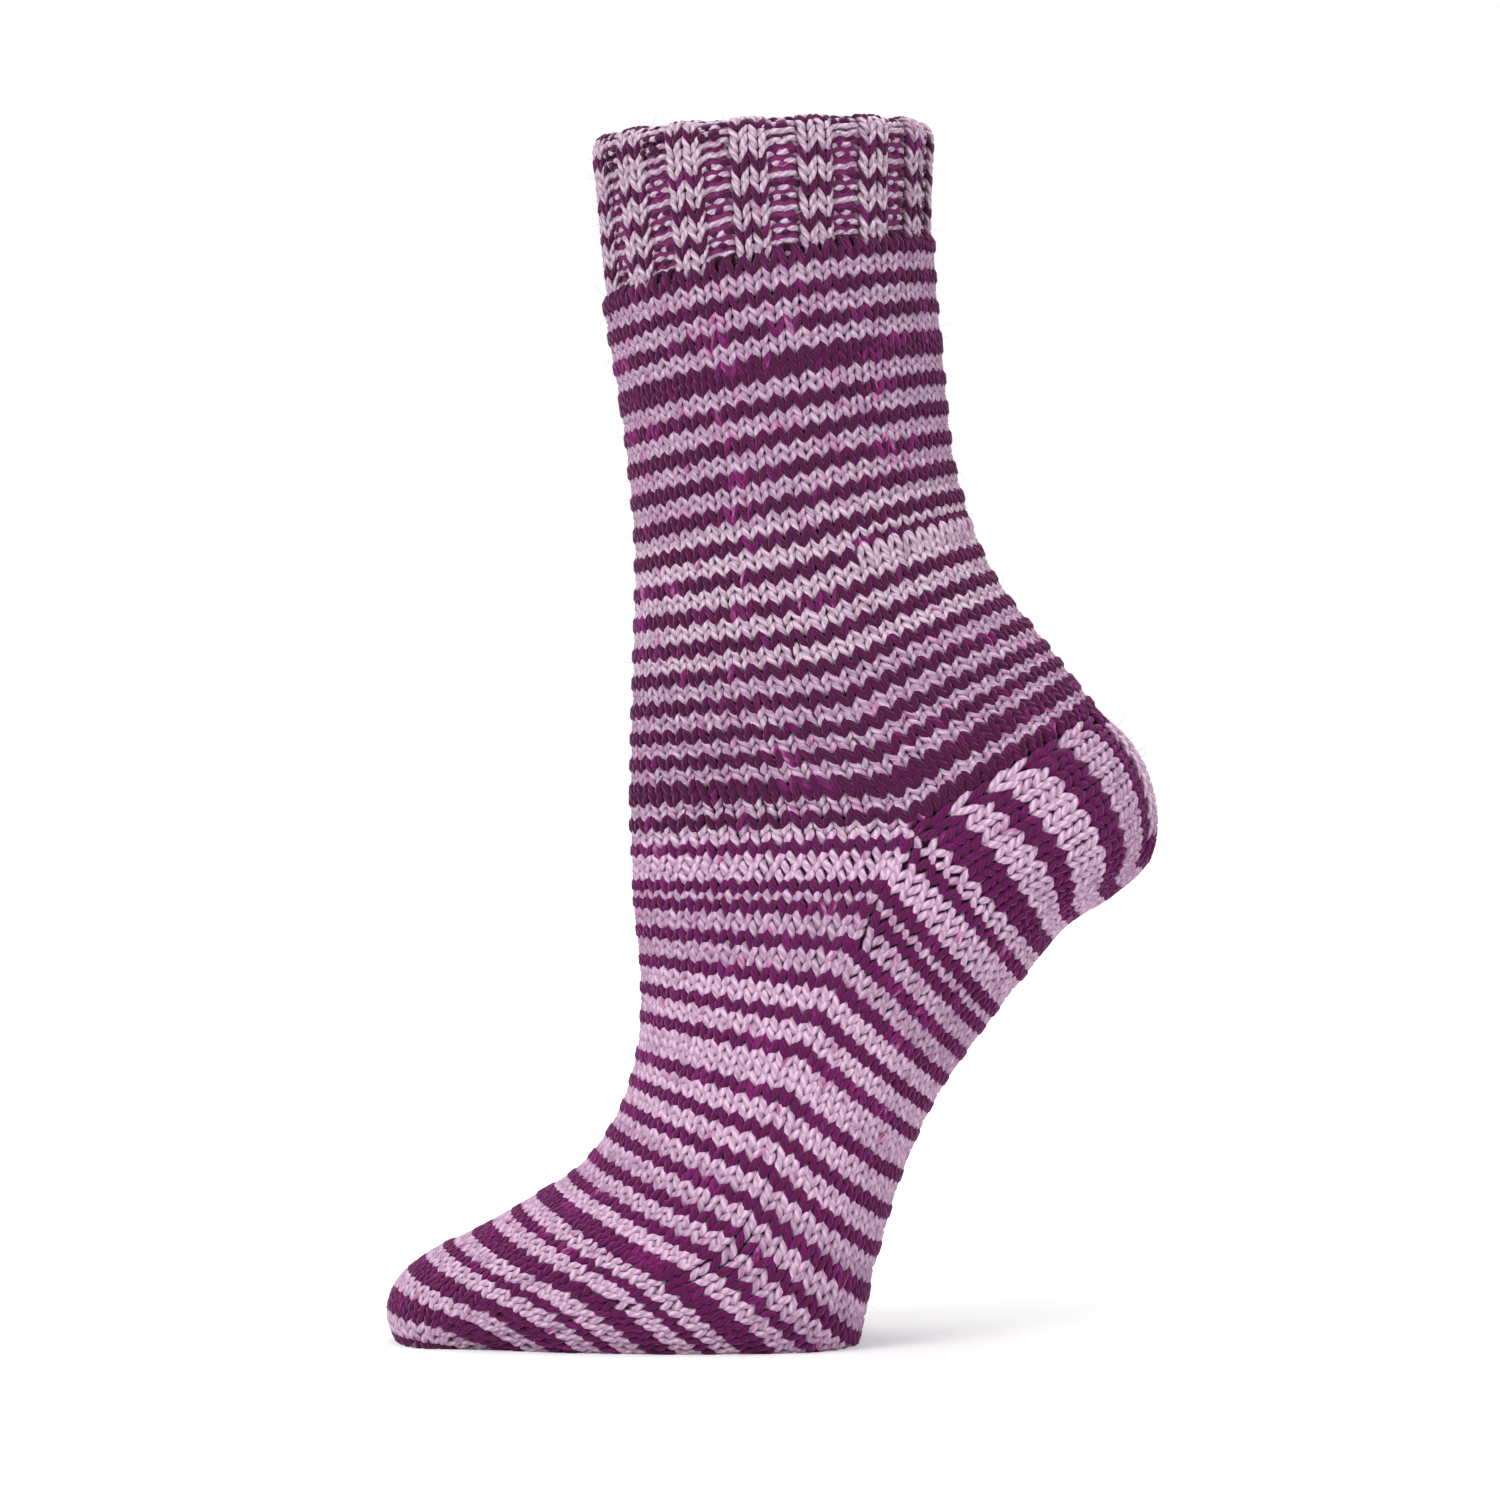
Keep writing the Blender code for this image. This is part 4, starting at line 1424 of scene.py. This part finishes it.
class SOCK_OT_stage(bpy.types.Operator):
    """Set the floor, the light and the camera"""

    bl_idname = "sock.stage"
    bl_label = "Stage"

    # Soft lamps round the sock, as place, size and power, and the point they shine at
    LAMPS = {
        "Key light": ((-0.7, -1.1, 1.1), 0.8, 15.0),
        "Fill light": ((1.0, -0.9, 0.5), 1.2, 4.5),
        "Top light": ((0.1, 0.2, 1.4), 1.2, 7.0),
    }
    LIT_POINT = (0, 0, 0.13)
    FLOOR_SIZE = 20.0
    FLOOR_COLOUR = (0.8, 0.8, 0.8, 1.0)
    # The floor's own brightness near the sock, and how fast it grows with the distance from it
    NEAR_GLOW = 0.30
    GLOW_RISE = 0.9

    def execute(self, context):
        settings = context.scene.sock_stage
        scene = context.scene
        scene.view_settings.view_transform = "Standard"
        self.floor(settings)
        self.world(scene, settings)
        for name, lamp in self.LAMPS.items():
            self.lamp(name, *lamp)
        self.camera(scene, settings)
        return {"FINISHED"}

    def seen(self, tree):
        """1 for rays that show a surface to the camera, straight or by reflection."""
        path = add_node(tree, "ShaderNodeLightPath")
        shown = calculate(tree, "MAXIMUM", path.outputs["Is Camera Ray"], path.outputs["Is Glossy Ray"])
        return calculate(tree, "MAXIMUM", shown, path.outputs["Is Transmission Ray"])

    def floor(self, settings):
        bpy.ops.mesh.primitive_plane_add(size=self.FLOOR_SIZE, location=(0, 0, 0))
        floor = bpy.context.object
        floor.name = "floor"
        material = bpy.data.materials.new("Pale floor")
        material.use_nodes = True
        tree = material.node_tree
        tree.nodes.clear()
        plain = add_node(tree, "ShaderNodeBsdfDiffuse")
        plain.inputs["Color"].default_value = self.FLOOR_COLOUR
        glow = add_node(tree, "ShaderNodeEmission")
        glow.inputs["Color"].default_value = (*settings.backdrop, 1.0)
        place = add_node(tree, "ShaderNodeTexCoord")
        away = add_node(tree, "ShaderNodeVectorMath", operation="LENGTH")
        join(tree, place.outputs["Object"], away.inputs[0])
        away = away.outputs["Value"]
        fade = calculate(tree, "MULTIPLY_ADD", away, self.GLOW_RISE, self.NEAR_GLOW, clamp=True)
        join(tree, calculate(tree, "MULTIPLY", self.seen(tree), fade), glow.inputs["Strength"])
        both = add_node(tree, "ShaderNodeAddShader")
        join(tree, plain.outputs[0], both.inputs[0])
        join(tree, glow.outputs[0], both.inputs[1])
        output = add_node(tree, "ShaderNodeOutputMaterial")
        join(tree, both.outputs[0], output.inputs["Surface"])
        floor.data.materials.append(material)

    def world(self, scene, settings):
        world = bpy.data.worlds.new("Studio")
        scene.world = world
        world.use_nodes = True
        tree = world.node_tree
        tree.nodes.clear()
        back = add_node(tree, "ShaderNodeBackground")
        back.inputs["Color"].default_value = (*settings.backdrop, 1.0)
        ambient = settings.ambient
        strength = calculate(tree, "MULTIPLY_ADD", self.seen(tree), 1.0 - ambient, ambient)
        join(tree, strength, back.inputs["Strength"])
        output = add_node(tree, "ShaderNodeOutputWorld")
        join(tree, back.outputs[0], output.inputs["Surface"])

    def lamp(self, name, place, size, power):
        data = bpy.data.lights.new(name, "AREA")
        data.shape = "DISK"
        data.size = size
        data.energy = power
        lamp = bpy.data.objects.new(name, data)
        lamp.location = place
        way = Vector(self.LIT_POINT) - Vector(place)
        lamp.rotation_euler = way.to_track_quat("-Z", "Y").to_euler()
        bpy.context.collection.objects.link(lamp)

    def camera(self, scene, settings):
        data = bpy.data.cameras.new("Camera")
        data.sensor_width = 36.0
        data.lens = data.sensor_width * settings.distance / settings.view_width
        data.clip_end = 50.0
        camera = bpy.data.objects.new("Camera", data)
        camera.location = Vector(settings.aim) - Vector((0, settings.distance, 0))
        camera.rotation_euler = (math.pi / 2, 0, 0)
        bpy.context.collection.objects.link(camera)
        scene.camera = camera


class SOCK_PT_panel(bpy.types.Panel):
    """Sidebar panel with the sock's sections and settings"""

    bl_label = "Hand-knitted Sock"
    bl_idname = "SOCK_PT_panel"
    bl_space_type = "VIEW_3D"
    bl_region_type = "UI"
    bl_category = "Sock"

    def draw(self, context):
        layout = self.layout
        for operator in OPERATORS:
            layout.operator(operator.bl_idname)
        for group in (context.scene.sock_yarn, context.scene.sock_stage):
            box = layout.box()
            for name in group.__annotations__:
                box.prop(group, name)


OPERATORS = (
    SOCK_OT_form, SOCK_OT_cuff, SOCK_OT_leg, SOCK_OT_heel, SOCK_OT_foot, SOCK_OT_toe,
    SOCK_OT_lining, SOCK_OT_fibres, SOCK_OT_stage,
)
CLASSES = (YarnSettings, StageSettings) + OPERATORS + (SOCK_PT_panel,)


def register():
    for item in CLASSES:
        bpy.utils.register_class(item)
    bpy.types.Scene.sock_yarn = bpy.props.PointerProperty(type=YarnSettings)
    bpy.types.Scene.sock_stage = bpy.props.PointerProperty(type=StageSettings)


def unregister():
    del bpy.types.Scene.sock_stage
    del bpy.types.Scene.sock_yarn
    for item in reversed(CLASSES):
        bpy.utils.unregister_class(item)


def main():
    register()
    bpy.ops.sock.form()
    bpy.ops.sock.cuff()
    bpy.ops.sock.leg()
    bpy.ops.sock.heel()
    bpy.ops.sock.foot()
    bpy.ops.sock.toe()
    bpy.ops.sock.lining()
    bpy.ops.sock.fibres()
    bpy.ops.sock.stage()
    bpy.context.view_layer.update()


if __name__ == "__main__":
    main()
